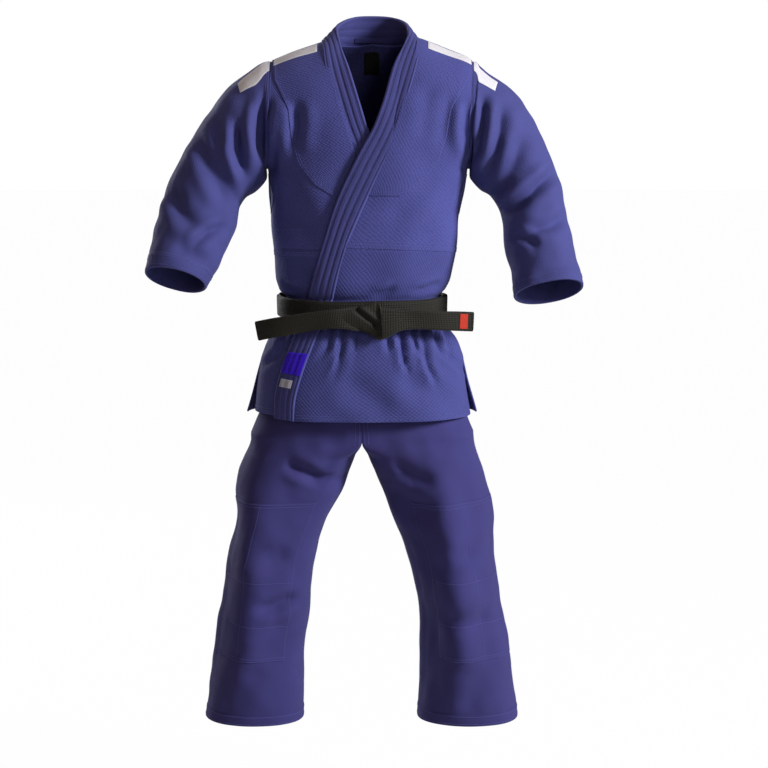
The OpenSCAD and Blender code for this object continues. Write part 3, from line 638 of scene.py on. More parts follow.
world = bpy.data.worlds.new("studio")
world.use_nodes = True
bpy.context.scene.world = world
backdrop = world.node_tree.nodes["Background"]
dim = world.node_tree.nodes.new("ShaderNodeBackground")
dim.inputs["Color"].default_value = (1, 0.78, 0.6, 1)
dim.inputs["Strength"].default_value = 0.05
backdrop.inputs["Color"].default_value = (1, 1, 1, 1)
backdrop.inputs["Strength"].default_value = 1.0
path = world.node_tree.nodes.new("ShaderNodeLightPath")
choose = world.node_tree.nodes.new("ShaderNodeMixShader")
world.node_tree.links.new(path.outputs["Is Camera Ray"], choose.inputs["Fac"])
world.node_tree.links.new(dim.outputs["Background"], choose.inputs[1])
world.node_tree.links.new(backdrop.outputs["Background"], choose.inputs[2])
world.node_tree.links.new(choose.outputs["Shader"], world.node_tree.nodes["World Output"].inputs["Surface"])

bpy.context.scene.view_settings.view_transform = "Standard"
bpy.ops.mesh.primitive_circle_add(vertices=96, radius=40, fill_type="NGON", location=(0, 0, -1.62))
floor = bpy.context.object
floor.name = "floor"
floor_mat, floor_nodes, floor_links, floor_shader = node_material("pale_floor")
floor_shader.inputs["Base Color"].default_value = (0.5, 0.5, 0.5, 1)
floor_shader.inputs["Roughness"].default_value = 0.9
glow = floor_nodes.new("ShaderNodeEmission")
floor_mix = floor_nodes.new("ShaderNodeMixShader")
floor_path = floor_nodes.new("ShaderNodeLightPath")
seen = math_node(floor_nodes, floor_links, "MULTIPLY", floor_path.outputs["Is Camera Ray"], 0.985)
floor_links.new(seen, floor_mix.inputs["Fac"])
floor_links.new(floor_shader.outputs["BSDF"], floor_mix.inputs[1])
floor_links.new(glow.outputs["Emission"], floor_mix.inputs[2])
floor_links.new(floor_mix.outputs["Shader"], floor_nodes["Material Output"].inputs["Surface"])
floor.data.materials.append(floor_mat)

# ---------------------------------------------------------------- jacket fronts and back

LOW_ROWS, TOP_ROWS = 96, 46
LEVELS = np.r_[np.linspace(hem_z - armpit_z, 0, LOW_ROWS), np.linspace(0, 90, TOP_ROWS + 1)[1:]]
CLOTH = 3.6


def level_z(level, x_share=0.5):
    """Height of a level of the torso, at a share of the armhole's distance from the middle."""
    q = np.sin(np.radians(np.maximum(level, 0))) ** (2 / ROUND)
    return np.where(level <= 0, armpit_z + level, armpit_z + q * (ridge_z(x_share * ARMHOLE_X) - armpit_z))


def drape(g, side, hold):
    """Moves a grid by the folds and a soft unevenness. hold is 0 where the cloth stays as it is."""
    move = (fold_depth(g, side) + 2.2 * unevenness(g, 95)) * hold
    return g + normals_of(g) * move[..., None]


def belt_press(levels):
    """1 where the belt presses the cloth flat, 0 elsewhere."""
    z = level_z(levels)
    return smooth((z - belt_low + 14) / 14) * smooth((belt_high + 12 - z) / 14)


def front_grid(hand, m=58):
    z = level_z(LEVELS)
    for _ in range(3):
        share = np.abs(edge_x(hand, z) - lean_x(z)) / ARMHOLE_X
        z = level_z(LEVELS, np.minimum(share, 0.95))
    start = angle_at(edge_x(hand, z) - hand * 14, z)
    below = smooth((belt_low - 4 - z) / 20)
    end = hand * mix(90, 84, below)
    c = np.linspace(0, 1, m)
    w = start[:, None] + (end - start)[:, None] * c
    g = torso_point(-1, w, LEVELS[:, None])
    if hand < 0:
        g = g[:, ::-1]
        c = c[::-1]
    lift = OVER * (1 - 0.8 * smooth((c - 0.5) / 0.45)) if hand > 0 else np.zeros(m)
    pressed = belt_press(LEVELS)[:, None]
    g = g + normals_of(g) * (lift[:, None] + CLOTH / 2)
    if hand < 0:
        g[:, :, 2] += 8 * smooth((fold_z - g[:, :, 2]) / 150)
    return drape(g, -1, 1 - 0.9 * pressed)


def back_grid(hand, m=54):
    c = np.linspace(0, 1, m)
    w_end = hand * mix(90, 86, smooth((belt_low - 4 - level_z(LEVELS)) / 20))
    w = w_end[:, None] * c
    x = ARMHOLE_X * np.abs(np.sin(np.radians(w))) ** (2 / ROUND)
    top = 90 - 27 * np.sqrt(np.maximum(0, 1 - (x / NECK_X) ** 2))
    v = np.where(LEVELS[:, None] > 0, LEVELS[:, None] * top / 90, LEVELS[:, None])
    g = torso_point(1, w, v)
    down = clamp((fold_z - g[..., 2]) / (fold_z - hem_z)) ** 1.5
    g[..., 0] = lean_x(g[..., 2]) + (g[..., 0] - lean_x(g[..., 2])) * (1 + 0.08 * down)
    if hand > 0:
        g = g[:, ::-1]
    g = g + normals_of(g) * CLOTH / 2
    return drape(g, 1, (1 - 0.9 * belt_press(LEVELS))[:, None])


def nearest_row(g, z_cut):
    """Row where a grid passes a height."""
    return int(np.argmin(np.abs(g[:, g.shape[1] // 2, 2] - z_cut)))


SKIRT_SEAM = -401      # the seam across the waist, where the weave changes


def ride_on(obj, body):
    """Ties a piece to one body by name; a piece given two bodies keeps its place with its transform baked
    in, tied to neither.
    """
    if isinstance(body, str):
        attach(obj, body)
    else:
        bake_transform(obj)


def panel(name, g, material, body, nodes, thickness=CLOTH, ring=False):
    obj = sheet_mesh(name, g, ring)
    thicken(obj, thickness, bevel=0.5 * thickness)
    finish_piece(obj, material)
    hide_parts(*nodes)
    ride_on(obj, body)


front_blend, back_blend = (
    ("jacket", skirt, (0, 0, (fold_z + 22) * MM), (0, 0, (fold_z - 46) * MM))
    for skirt in ("front_skirt", "back_skirt"))

left_front = front_grid(1)
right_front = front_grid(-1)
back_left = back_grid(1)
back_right = back_grid(-1)


def two_weaves(prefix, g, pair, upper_nodes, lower_nodes):
    """A panel in two cloths joined at the waist seam."""
    cut = nearest_row(g, SKIRT_SEAM)
    panel(prefix + "_skirt_cloth", g[:cut + 1], "skirt", pair, lower_nodes)
    panel(prefix + "_chest_cloth", g[cut:], "jacket", "jacket", upper_nodes)


two_weaves("left_front", left_front, front_blend, ["left_front_panel"], ["over_skirt"])
two_weaves("right_front", right_front, front_blend, ["right_front_panel"], ["under_skirt"])
two_weaves("back_left", back_left, back_blend, ["back_left_panel"], ["back_left_skirt"])
two_weaves("back_right", back_right, back_blend, ["back_right_panel"], ["back_right_skirt"])

# ---------------------------------------------------------------- collar and lapel band

BAND_THICK = 9
CHANNELS = (0.12, 0.32, 0.37, 0.57, 0.62, 0.82, 0.88)     # its sewn rows, as shares of its width
BAND_ACROSS = 41


def band_shift(u):
    return np.where(u > 0, OVER * clamp((u - 3) / 2.5), (CLOTH - BAND_THICK) * clamp((-u - 3) / 2.5))


def band_grid(steps=300, across=BAND_ACROSS):
    """Closed ring of points round the band's section at each place along it."""
    u = np.linspace(-LAST, LAST, steps)
    v = np.linspace(0, 1, across)
    base = band_point(np.repeat(u[:, None], across, 1), np.repeat(v[None], steps, 0))
    n = normals_of(base)
    base = base + n * ((fold_depth(base, -1) * smooth((np.abs(u) - 6) / 2)[:, None]
                        * (1 - 0.9 * smooth((base[..., 2] - belt_low + 10) / 10)
                           * smooth((belt_high + 10 - base[..., 2]) / 10)))[..., None] * 0.3)
    rim = np.clip(1 - (np.abs(2 * v - 1)) ** 12, 0, 1) ** 0.5
    grooves = sum(np.exp(-((v - k) / 0.02) ** 2) for k in CHANNELS)
    outer = BAND_THICK * (0.5 + 0.5 * rim) - 1.8 * np.clip(grooves, 0, 1)
    inner = BAND_THICK * (0.5 - 0.5 * rim) + 1.1 * np.clip(grooves, 0, 1)
    shift = band_shift(u)[:, None, None]
    face = base + n * (shift + outer[None, :, None])
    lining = base + n * (shift + inner[None, :, None])
    return np.concatenate([face, lining[:, ::-1]], 1)


def capped_tube(name, g, material):
    """A closed solid from rings of points, with its two ends filled."""
    n, m = g.shape[:2]
    obj = sheet_mesh(name, g, ring=True)

    def cap(shell):
        shell.verts.ensure_lookup_table()
        for row, way in ((0, -1), (n - 1, 1)):
            shell.faces.new([shell.verts[row * m + k] for k in range(m)][::way])
        bmesh.ops.triangulate(shell, faces=[f for f in shell.faces if len(f.verts) > 4])

    face_outward(obj, cap)
    obj.data.polygons.foreach_set("use_smooth", [True] * len(obj.data.polygons))
    return finish_piece(obj, material)


band = capped_tube("collar_and_lapel_band", band_grid(), "lapel")
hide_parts("collar_back", "left_lapel", "right_lapel", "left_lapel_end", "right_lapel_end")
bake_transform(band)

# ---------------------------------------------------------------- sleeves

LEFT_SLEEVE = [
    [215, -28, 204, -238, 0, 87], [236, -36, 216, -262, 0, 92], [292, -80, 233, -284, -4, 92],
    [338, -142, 254, -296, -8, 88], [372, -210, 268, -316, -14, 82], [397, -288, 279, -348, -26, 76],
    [412, -360, 284, -404, -48, 73], [426, -428, 296, -452, -74, 70], [436, -478, 302, -500, -96, 69]]
RIGHT_SLEEVE = [
    [-198, -24, -208, -238, 0, 87], [-240, -44, -218, -264, 0, 92], [-288, -80, -236, -286, -4, 92],
    [-334, -140, -256, -300, -10, 88], [-374, -202, -268, -318, -18, 80], [-402, -262, -270, -342, -32, 76],
    [-420, -320, -274, -378, -50, 73], [-436, -378, -298, -426, -74, 69], [-450, -450, -330, -478, -102, 68]]


def armhole_ring(hand, count):
    """The edge of the jacket's armhole, from its top round the front and back to its top."""
    t = 360 * np.arange(count) / count
    up = np.where(t < 180, 90 - t / 2, (t - 180) / 2)
    front = torso_point(-1, hand * 89.9, up)
    back = torso_point(1, hand * 89.9, up)
    return np.where((t < 180)[:, None], front, back)


def tube_rings(table, u, count, power):
    """Rings round a sleeve at places u along its stations, starting on the armhole."""
    r = curve(table, u)
    a, b = curve(table, np.maximum(0, u - 0.5)), curve(table, np.minimum(len(table) - 1, u + 0.5))

    def middle(k):
        return np.stack([(k[:, 0] + k[:, 2]) / 2, k[:, 4], (k[:, 1] + k[:, 3]) / 2], -1)

    run = middle(b) - middle(a)
    hand = np.sign(table[0][0])
    run[u < 0.01] = (hand, 0, 0)
    run = unit(run)
    half = np.stack([r[:, 0] - r[:, 2], np.zeros(len(r)), r[:, 1] - r[:, 3]], -1) / 2
    deep = hand * np.cross(run, half)
    deep *= (r[:, 5] / np.linalg.norm(deep, axis=1))[:, None]
    t = np.radians(360 * np.arange(count) / count)
    o, s = np.cos(t), np.sin(t)
    o, s = np.sign(o) * np.abs(o) ** (2 / power), np.sign(s) * np.abs(s) ** (2 / power)
    g = middle(r)[:, None] + half[:, None] * o[None, :, None] + deep[:, None] * s[None, :, None]
    start = armhole_ring(hand, count)[None] + (hand * 2, 0, 0)
    start = start + (u * 30)[:, None, None] * np.array((hand, 0, 0))
    return mix(start, g, smooth(u / 0.9)[:, None, None])


def sleeve_grid(table, rows=150, count=128):
    u = np.linspace(0, len(table) - 1.0, rows)
    g = tube_rings(table, u, count, 2.1)
    n = ring_normals(g)
    facing = n[..., 1]
    move = (fold_depth(g, -1) * smooth(-facing / 0.35) + fold_depth(g, 1) * smooth(facing / 0.35)
            + 2.6 * unevenness(g, 80) + 0.9 * unevenness(g + 900, 34))
    hold = smooth(u / 0.5)[:, None] * (0.35 + 0.65 * smooth((len(table) - 1 - u) / 0.8))[:, None]
    return g + n * (move * hold)[..., None], n


def ring_normals(g):
    n = normals_of(g, ring=True)
    out = g - g.mean(1, keepdims=True)
    return n * np.sign((n * out).sum(-1).mean())


def sleeve_blend(side, hand):
    return "jacket", side + "_sleeve", (hand * 0.206, 0, 0), (hand * 0.295, 0, 0)


sleeve_grids = {}
for side, hand, table in (("left", 1, LEFT_SLEEVE), ("right", -1, RIGHT_SLEEVE)):
    g, n = sleeve_grids[side] = sleeve_grid(table)
    panel(side + "_sleeve_cloth", g, "sleeve", sleeve_blend(side, hand),
          [side + "_upper_sleeve", side + "_lower_sleeve"], ring=True)
    cuff = g[-10:] + n[-10:] * 2.2
    cuff[-1] = g[-1] + n[-1] * 1.6
    panel(side + "_cuff_hem", cuff, "sleeve", side + "_sleeve", [side + "_cuff"], 1.6, ring=True)

# ---------------------------------------------------------------- trousers

HIPS = np.array([
    [-790, 234, 112, 118], [-752, 217, 112, 118], [-710, 205, 110, 116], [-650, 190, 104, 110],
    [-600, 168, 96, 102], [-580, 153, 88, 90], [-552, 143, 80, 78]], float)
LEFT_LEG = [
    [222, -792, -8, -792, 2, 112], [232, -846, 2, -838, 0, 108], [249, -904, 30, -908, -2, 104],
    [261, -954, 52, -966, -6, 100], [266, -1050, 86, -1050, -12, 96], [280, -1150, 106, -1150, -10, 92],
    [300, -1276, 112, -1272, -2, 90], [318, -1408, 108, -1408, 4, 90]]
RIGHT_LEG = [
    [-246, -792, -16, -792, 2, 112], [-262, -846, -28, -838, 0, 108], [-277, -904, -52, -904, -2, 104],
    [-279, -966, -82, -966, -6, 100], [-294, -1048, -114, -1052, -12, 96],
    [-310, -1144, -124, -1160, -10, 92], [-328, -1264, -136, -1276, -2, 90],
    [-348, -1406, -141, -1408, 4, 90]]
TROUSER_CLOTH = 2.6
MIDDLE = -12           # the trousers hang this far to the wearer's right of the neck
CROTCH = -806          # the two legs part here
OUTER, WALL = 96, 44   # columns round the outside of a leg, and on its inner side


def even_points(p, count):
    """Points at even spacing along a polyline, its two ends included."""
    far = steps_along(p)
    where = np.linspace(0, far[-1], count)
    return np.stack([np.interp(where, far, p[:, k]) for k in range(3)], -1)


def hip_side(hand, z):
    """Half of the hips at height z, from the centre front round the side to the centre back and in."""
    t = np.radians(np.linspace(-90, 90, 121))
    p = ROUND + 0.7 * clamp((-742 - z) / 48)
    w = float(lookup(np.array(z), HIPS, 1))
    d = np.where(t < 0, lookup(np.array(z), HIPS, 2), lookup(np.array(z), HIPS, 3))
    x = MIDDLE + hand * w * np.abs(np.cos(t)) ** (2 / p)
    y = d * np.sign(t) * np.abs(np.sin(t)) ** (2 / p)
    arc = np.stack([x, y, np.full(len(t), float(z))], -1)
    arc[0, 0] = arc[-1, 0] = MIDDLE + hand * 0.2
    outer = even_points(arc, OUTER + 1)
    wall = even_points(np.stack([arc[-1], arc[0]]), WALL + 1)
    return np.concatenate([outer, wall[1:-1]])


def leg_side(table, u):
    r = curve(table, u)
    middle = np.array(((r[0] + r[2]) / 2, r[4], (r[1] + r[3]) / 2))
    half = np.array((r[0] - r[2], 0, r[1] - r[3])) / 2
    corner = 127

    def arc(start, end, count):
        t = np.radians(np.linspace(start, end, 200))
        o, s = np.cos(t), np.sin(t)
        p = np.where(o < 0, mix(6, 2.3, clamp(u / 1.6)), 2.3)
        q = middle + half * (np.sign(o) * np.abs(o) ** (2 / p))[:, None]
        q[:, 1] += r[5] * np.sign(s) * np.abs(s) ** (2 / p)
        return even_points(q, count)

    wall = arc(corner, 360 - corner, WALL + 1)[1:-1]
    return np.concatenate([arc(-corner, corner, OUTER + 1), wall])


def leg_u(table, z):
    u = np.linspace(0, 7, 701)
    height = np.array([curve(table, a)[1] for a in u])
    return float(np.interp(-z, -height, u))


def trouser_grid(hand):
    table = LEFT_LEG if hand > 0 else RIGHT_LEG
    levels = np.r_[np.linspace(-552, CROTCH, 62), np.linspace(CROTCH - 5, -1407, 138)]
    rows = []
    for z in levels:
        share = float(smooth((-794 - z) / 50))
        leg = leg_side(table, leg_u(table, z)) if share > 0 else 0
        rows.append(mix(hip_side(hand, max(z, -800)) + (0, 0, min(0, z + 800)), leg, share))
    g = np.array(rows)[::-1]
    if hand < 0:
        g = g[:, np.r_[OUTER:-1:-1, len(g[0]) - 1:OUTER:-1]]
    n = ring_normals(g)
    facing = n[..., 1]
    z = g[..., 2]
    wall = np.zeros(g.shape[1])
    wall[OUTER + 1:] = 1
    near_seam = np.minimum(np.arange(g.shape[1]), np.abs(np.arange(g.shape[1]) - OUTER))
    seam_hold = np.where(z > CROTCH - 60, smooth(near_seam / 7)[None], 1.0)
    free = np.where(wall[None] > 0, smooth((CROTCH - 30 - z) / 90), seam_hold)
    move = (fold_depth(g, -1) * smooth(-facing / 0.35) + fold_depth(g, 1) * smooth(facing / 0.35)
            + 2.4 * unevenness(g + 300, 110) + 0.8 * unevenness(g, 42))
    hold = free * (0.4 + 0.6 * smooth((z + 1407) / 60)) * (0.3 + 0.7 * smooth((-600 - z) / 60))
    return g + n * (move * hold)[..., None], n


def drop_faces(obj, faces):
    shell = bmesh.new()
    shell.from_mesh(obj.data)
    shell.faces.ensure_lookup_table()
    bmesh.ops.delete(shell, geom=[shell.faces[k] for k in faces], context="FACES")
    shell.to_mesh(obj.data)
    shell.free()


def leg_blend(side, hand):
    x = (MIDDLE + hand * 118) * MM
    return "trousers", side + "_leg", (x, 0, -0.812), (x + hand * 0.03, 0, -0.955)


trouser_grids = {}
for side, hand in (("left", 1), ("right", -1)):
    g, n = trouser_grids[side] = trouser_grid(hand)
    obj = sheet_mesh(side + "_trouser_cloth", g, ring=True)
    m = g.shape[1]
    above = int(np.argmax(g[:, 0, 2] > CROTCH - 1))
    drop_faces(obj, [i * m + j for i in range(above, len(g) - 1) for j in range(OUTER, m)])
    thicken(obj, TROUSER_CLOTH, bevel=1.2)
    finish_piece(obj, "trouser")
    hips = ("hip_front", "hip_back") if hand > 0 else ()
    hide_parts(side + "_leg_front", side + "_leg_back", *hips)
    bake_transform(obj)

# ---------------------------------------------------------------- second layers, seams and stitches


def normals_at(n, i, j):
    return unit(sample(n, i, j))


def closed_ring(g):
    """A ring's grid with its first column repeated at its end."""
    return np.concatenate([g, g[:, :1]], 1)


def overlay(name, g, n, i, j, lift, thick, material, body, nodes=()):
    """A layer on a grid of cloth, over fractional rows i and columns j; lift is from its middle."""
    base = sample(g, i, j) + normals_at(n, i, j) * (lift + thick / 2)
    obj = sheet_mesh(name, base)
    thicken(obj, thick, bevel=0.45 * thick)
    finish_piece(obj, material)
    if nodes:
        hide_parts(*nodes)
    ride_on(obj, body)


def column_at(g, rows, x):
    """Fractional column of a grid where each of its rows passes a place x."""
    out = []
    for row, where in zip(rows, x):
        line = sample(g, np.full(g.shape[1], row), np.arange(g.shape[1], dtype=float))[:, 0]
        order = np.argsort(line)
        out.append(float(np.interp(where, line[order], np.arange(g.shape[1])[order])))
    return np.array(out)


def row_at(g, column, z):
    line = g[:, int(round(column)), 2]
    order = np.argsort(line)
    return np.interp(z, line[order], np.arange(len(line))[order])


THREADS = {}


PITCH, STITCH, THREAD_THICK = 3.7, 2.8, 0.8    # from stitch to stitch, its length, its thickness


def stitch(group, points, normals):
    """Adds a row of single stitches along points; they are joined into one piece for each group."""
    p = np.asarray(points, float)
    far = steps_along(p)
    count = int(far[-1] / PITCH)
    if count < 1:
        return
    start = (np.arange(count) + 0.12) * PITCH
    ends = [np.stack([np.interp(start + a, far, p[:, k]) for k in range(3)], -1) for a in (0, STITCH)]
    up = np.stack([np.interp(start + STITCH / 2, far, np.asarray(normals)[:, k])
                   for k in range(3)], -1)
    up = unit(up)
    run = ends[1] - ends[0]
    side = unit(np.cross(up, run))
    middle = (ends[0] + ends[1]) / 2
    half = run * 0.34
    w = side * THREAD_THICK / 2
    h = up * THREAD_THICK * 0.55
    corners = [ends[0] - up * 0.3, middle - half + w, middle - half + h, middle - half - w,
               middle + half + w, middle + half + h, middle + half - w, ends[1] - up * 0.3]
    THREADS.setdefault(group, []).append(np.stack(corners, 1).reshape(-1, 8, 3))


STITCH_FACES = [(0, 1, 2), (0, 2, 3), (0, 3, 1), (1, 4, 5, 2), (2, 5, 6, 3), (3, 6, 4, 1),
                (4, 7, 5), (5, 7, 6), (6, 7, 4)]


def sew(group, body, material="thread"):
    """Makes one piece of all the stitches in a group."""
    points = np.concatenate(THREADS.pop(group))
    faces = [tuple(8 * k + c for c in f) for k in range(len(points)) for f in STITCH_FACES]
    obj = mesh_object(group, points.reshape(-1, 3) * MM, faces)
    obj.data.uv_layers.new(name="cloth")
    face_outward(obj)
    finish_piece(obj, material)
    ride_on(obj, body)


def stitch_on(group, g, n, i, j, lift):
    i, j = np.broadcast_arrays(np.asarray(i, float), np.asarray(j, float))
    up = normals_at(n, i, j)
    stitch(group, sample(g, i, j) + up * lift, up)


TOP = CLOTH / 2
# How far from the middle the chest yoke's outer edge is, by height
YOKE_REACH = np.array([(-296, 62), (-271, 104), (-229, 140), (-178, 157), (-120, 165), (-86, 180),
                       (-56, 194), (14, 200)])

for side, hand, g in (("left", 1, left_front), ("right", -1, right_front)):
    n = normals_of(g)
    last = g.shape[1] - 1
    armpit_row = LOW_ROWS - 1
    rows = np.linspace(row_at(g, last / 2, -293), len(g) - 1.2, 60)
    z = sample(g, rows, np.full(60, last / 2))[:, 2]
    reach = np.interp(z, YOKE_REACH[:, 0], YOKE_REACH[:, 1])
    outer = column_at(g, rows, lean_x(z) + hand * reach)
    inner_x = edge_x(hand, z) - hand * 6
    if hand < 0:
        inner_x = np.minimum(inner_x, np.where(z > -155, 200, np.interp(
            z, *np.array(sorted((p[2], p[0]) for p in LEFT_INNER[7:13])).T) - 2))
    inner = column_at(g, rows, inner_x)
    across = np.linspace(0, 1, 40)
    first, second = (inner, outer) if hand > 0 else (outer, inner)
    columns = first[:, None] + (second - first)[:, None] * across
    overlay(side + "_chest_yoke_layer", g, n, rows[:, None], columns, TOP, 1.6, "jacket", "jacket",
            [side + "_chest_yoke"])
    per_mm = last / path_length(g[armpit_row])
    for inset in (3, 9):
        stitch_on("jacket_stitching", g, n, rows, outer - hand * inset * per_mm, TOP + 1.6)
    # turned seams: armhole, shoulder and side
    armhole = last if hand > 0 else 0
    up_rows = np.arange(armpit_row, len(g) - 0.5)
    for inset in (4, 10):
        stitch_on("jacket_stitching", g, n, up_rows, armhole - hand * inset * per_mm, TOP + 0.1)
        stitch_on("jacket_stitching", g, n, np.linspace(armpit_row, row_at(g, armhole, -588), 90),
                  armhole - hand * inset * per_mm, TOP + 0.1)
    # waist seam: a felled strip and its two rows of stitching
    columns = np.linspace(0.5, last - 0.3, 60)
    z_seam = np.interp(columns, (0, last), (-392, -408) if hand > 0 else (-414, -408))
    seam_rows = np.array([row_at(g, c, v) for c, v in zip(columns, z_seam)])
    per_row = (len(g) - 1) / (g[-1, last // 2, 2] - g[0, last // 2, 2])
    overlay(side + "_waist_seam", g, n, seam_rows[None] + np.linspace(-5, 5, 5)[:, None] * per_row,
            columns[None], TOP, 1.1, "jacket", "jacket")
    for k in (-3.4, 3.4):
        stitch_on("jacket_stitching", g, n, seam_rows + k * per_row, columns, TOP + 1.2)
    above = 46 if hand < 0 else 9
    stitch_on("jacket_stitching", g, n, seam_rows + above * per_row, columns, TOP + 0.1)
    # hem of the skirt
    for k in (7, 12):
        stitch_on(side + "_skirt_stitching", g, n, k * per_row, np.linspace(0.5, last - 0.5, 80),
                  TOP + 0.1)
    skirt_rows = np.linspace(3 * per_row, row_at(g, armhole, -604), 60)
    for inset in (7, 12):
        stitch_on(side + "_skirt_stitching", g, n, skirt_rows, armhole - hand * inset * per_mm, TOP + 0.1)
    # tape along the top of the shoulder
    tape_ends = sorted(column_at(g, [len(g) - 2.0], [lean_x(0.0) + hand * far])[0]
                       for far in (112, 199))
    tape_columns = np.linspace(*tape_ends, 30)
    overlay(side + "_shoulder_tape_strip", g, n, np.linspace(len(g) - 12.5, len(g) - 5.5, 10)[:, None],
            tape_columns[None], TOP + 1.6, 1.0, "tape", "jacket", [side + "_shoulder_tape"])
    sew(side + "_skirt_stitching", front_blend)

# back: yoke, centre seam, waist seam, hem
for side, hand, g in (("left", 1, back_left), ("right", -1, back_right)):
    n = normals_of(g)
    last = g.shape[1] - 1
    centre = last if hand > 0 else 0
    armhole = last - centre
    per_mm = last / path_length(g[LOW_ROWS - 1])
    per_row = (len(g) - 1) / (g[-1, last // 2, 2] - g[0, last // 2, 2])
    columns = np.linspace(0.3, last - 0.3, 44)
    share = np.abs(columns - centre) / last
    edge = np.interp(share, (0, 0.6, 1), (-224, -206, -150))
    low = np.array([row_at(g, c, v) for c, v in zip(columns, edge)])
    high = len(g) - 1.5
    overlay(side + "_back_yoke_layer", g, n, low[None] + (high - low)[None] * np.linspace(0, 1, 40)[:, None],
            columns[None], TOP, 1.6, "jacket", "jacket", ["back_yoke"] if hand > 0 else [])
    for k in (3, 9):
        stitch_on("jacket_stitching", g, n, low + k * per_row, columns, TOP + 1.7)
    rows = np.linspace(row_at(g, centre, -588), low[-1 if hand > 0 else 0], 80)
    for inset in (4, 9):
        stitch_on("jacket_stitching", g, n, rows, centre - hand * inset * per_mm, TOP + 0.1)
        stitch_on("jacket_stitching", g, n, np.linspace(row_at(g, armhole, -588), LOW_ROWS - 1, 80),
                  armhole + hand * inset * per_mm, TOP + 0.1)
        stitch_on("jacket_stitching", g, n, np.linspace(LOW_ROWS - 1, len(g) - 1.2, 60),
                  armhole + hand * inset * per_mm, TOP + 1.8)
    seam_rows = np.array([row_at(g, c, -408) for c in columns])
    overlay(side + "_back_waist_seam", g, n, seam_rows[None] + np.linspace(-5, 5, 5)[:, None] * per_row,
            columns[None], TOP, 1.1, "jacket", "jacket")
    for k in (-3.4, 3.4):
        stitch_on("jacket_stitching", g, n, seam_rows + k * per_row, columns, TOP + 1.2)
    group = side + "_back_skirt_stitching"
    for k in (7, 12):
        stitch_on(group, g, n, k * per_row, np.linspace(0.5, last - 0.5, 70), TOP + 0.1)
    rows = np.linspace(3 * per_row, row_at(g, armhole, -604), 60)
    for inset in (4, 10):
        stitch_on(group, g, n, rows, armhole + hand * inset * per_mm, TOP + 0.1)
        stitch_on(group, g, n, rows, centre - hand * inset * per_mm, TOP + 0.1)
    sew(group, back_blend)
    # tapes inside the side edges of the skirt
    rows = np.linspace(3 * per_row, row_at(g, armhole, -606), 40)
    columns = armhole + hand * np.linspace(1, 26, 6) * per_mm
    overlay(side + "_vent_tape", g, -n, rows[:, None], columns[None], TOP, 1.0, "jacket", back_blend,
            ["back_vent_tapes"] if hand > 0 else [])
sew("jacket_stitching", "jacket")

# stitching of the collar and lapel band
band_faces = band_grid()
band_rows = len(band_faces)
band_face = band_faces[:, :BAND_ACROSS]
band_normals = normals_of(band_face)
for v in CHANNELS:
    i = np.linspace(2, band_rows - 3, 900)
    stitch_on("band_stitching", band_face, band_normals, i, v * (BAND_ACROSS - 1), 0.1)
sew("band_stitching", front_blend)


def band_row(u):
    return (u + LAST) / (2 * LAST) * (band_rows - 1)


def band_layer(name, u, v, thick, material, nodes):
    """A small piece sewn on the band's face, over a range of places u along it and v across it."""
    i = band_row(np.linspace(*u, 12))[:, None]
    j = np.linspace(*v, 12)[None] * (BAND_ACROSS - 1)
    overlay(name, band_face, band_normals, i, j, 0.3, thick, material, "front_skirt", nodes)
    group = name + "_stitching"
    inset = (0.07, 0.93)
    rows = band_row(np.linspace(*(mix(*u, k) for k in inset), 20))
    columns = np.linspace(*(mix(*v, k) for k in inset), 20) * (BAND_ACROSS - 1)
    for k in inset:
        stitch_on(group, band_face, band_normals, rows, mix(*v, k) * (BAND_ACROSS - 1), 0.4 + thick)
        stitch_on(group, band_face, band_normals, band_row(mix(*u, k)), columns, 0.4 + thick)
    sew(group, "front_skirt", material)


band_layer("lapel_patch_cloth", (13.36, 14.16), (0.06, 0.92), 1.3, "patch", ["lapel_patch"])
band_layer("lapel_tab_cloth", (14.36, 14.66), (0.3, 0.84), 0.9, "tab", ["lapel_tab"])

# neck label and hanging loop, inside the back of the neck
inside_back = np.concatenate([back_left[:, :-1], back_right], 1)
n = normals_of(inside_back)
middle = back_left.shape[1] - 1
rows = np.linspace(row_at(inside_back, middle, -46), row_at(inside_back, middle, 1), 16)
edges = [column_at(inside_back, rows, np.full(16, x)) for x in (24.0, -8.0)]
columns = edges[0][:, None] + (edges[1] - edges[0])[:, None] * np.linspace(0, 1, 14)
overlay("neck_label_cloth", inside_back, -n, rows[:, None], columns, TOP + 1, 0.9, "label", "jacket",
        ["neck_label"])

loop_path = np.stack([np.linspace(-27, 43, 40), 64 - 3.4 * np.sin(np.linspace(0, np.pi, 40)) ** 2,
                      np.full(40, 22.0)], -1)
loop = np.stack([loop_path + (0, 0.9 * a, -5 * a) for a in (1, 0.5, 0, -0.5, -1)])
obj = sheet_mesh("hanging_loop_tape", loop[:, ::-1])
thicken(obj, 1.4, bevel=0.5, subdivide=1)
finish_piece(obj, "lapel")
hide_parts("hanging_loop")
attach(obj, "jacket")

# armpit gussets: diamond patches over the side seams
NEAR = 11
for side, front, back in (("left", left_front, back_left), ("right", right_front, back_right)):
    if side == "left":
        g = np.concatenate([front[:LOW_ROWS, -NEAR:], back[:LOW_ROWS, 1:NEAR]], 1)
    else:
        g = np.concatenate([back[:LOW_ROWS, -NEAR:-1], front[:LOW_ROWS, :NEAR]], 1)
    n = normals_of(g)
    seam = g.shape[1] // 2
    rows = np.linspace(row_at(g, seam, -334), row_at(g, seam, -252), 26)
    reach = (NEAR - 2) * np.sin(np.pi * np.linspace(0.06, 0.94, 26)) ** 0.9
    columns = seam + reach[:, None] * np.linspace(-1, 1, 21)
    overlay(side + "_gusset_cloth", g, n, rows[:, None], columns, TOP, 1.4, "sleeve", "jacket",
            [side + "_armpit_gusset"])

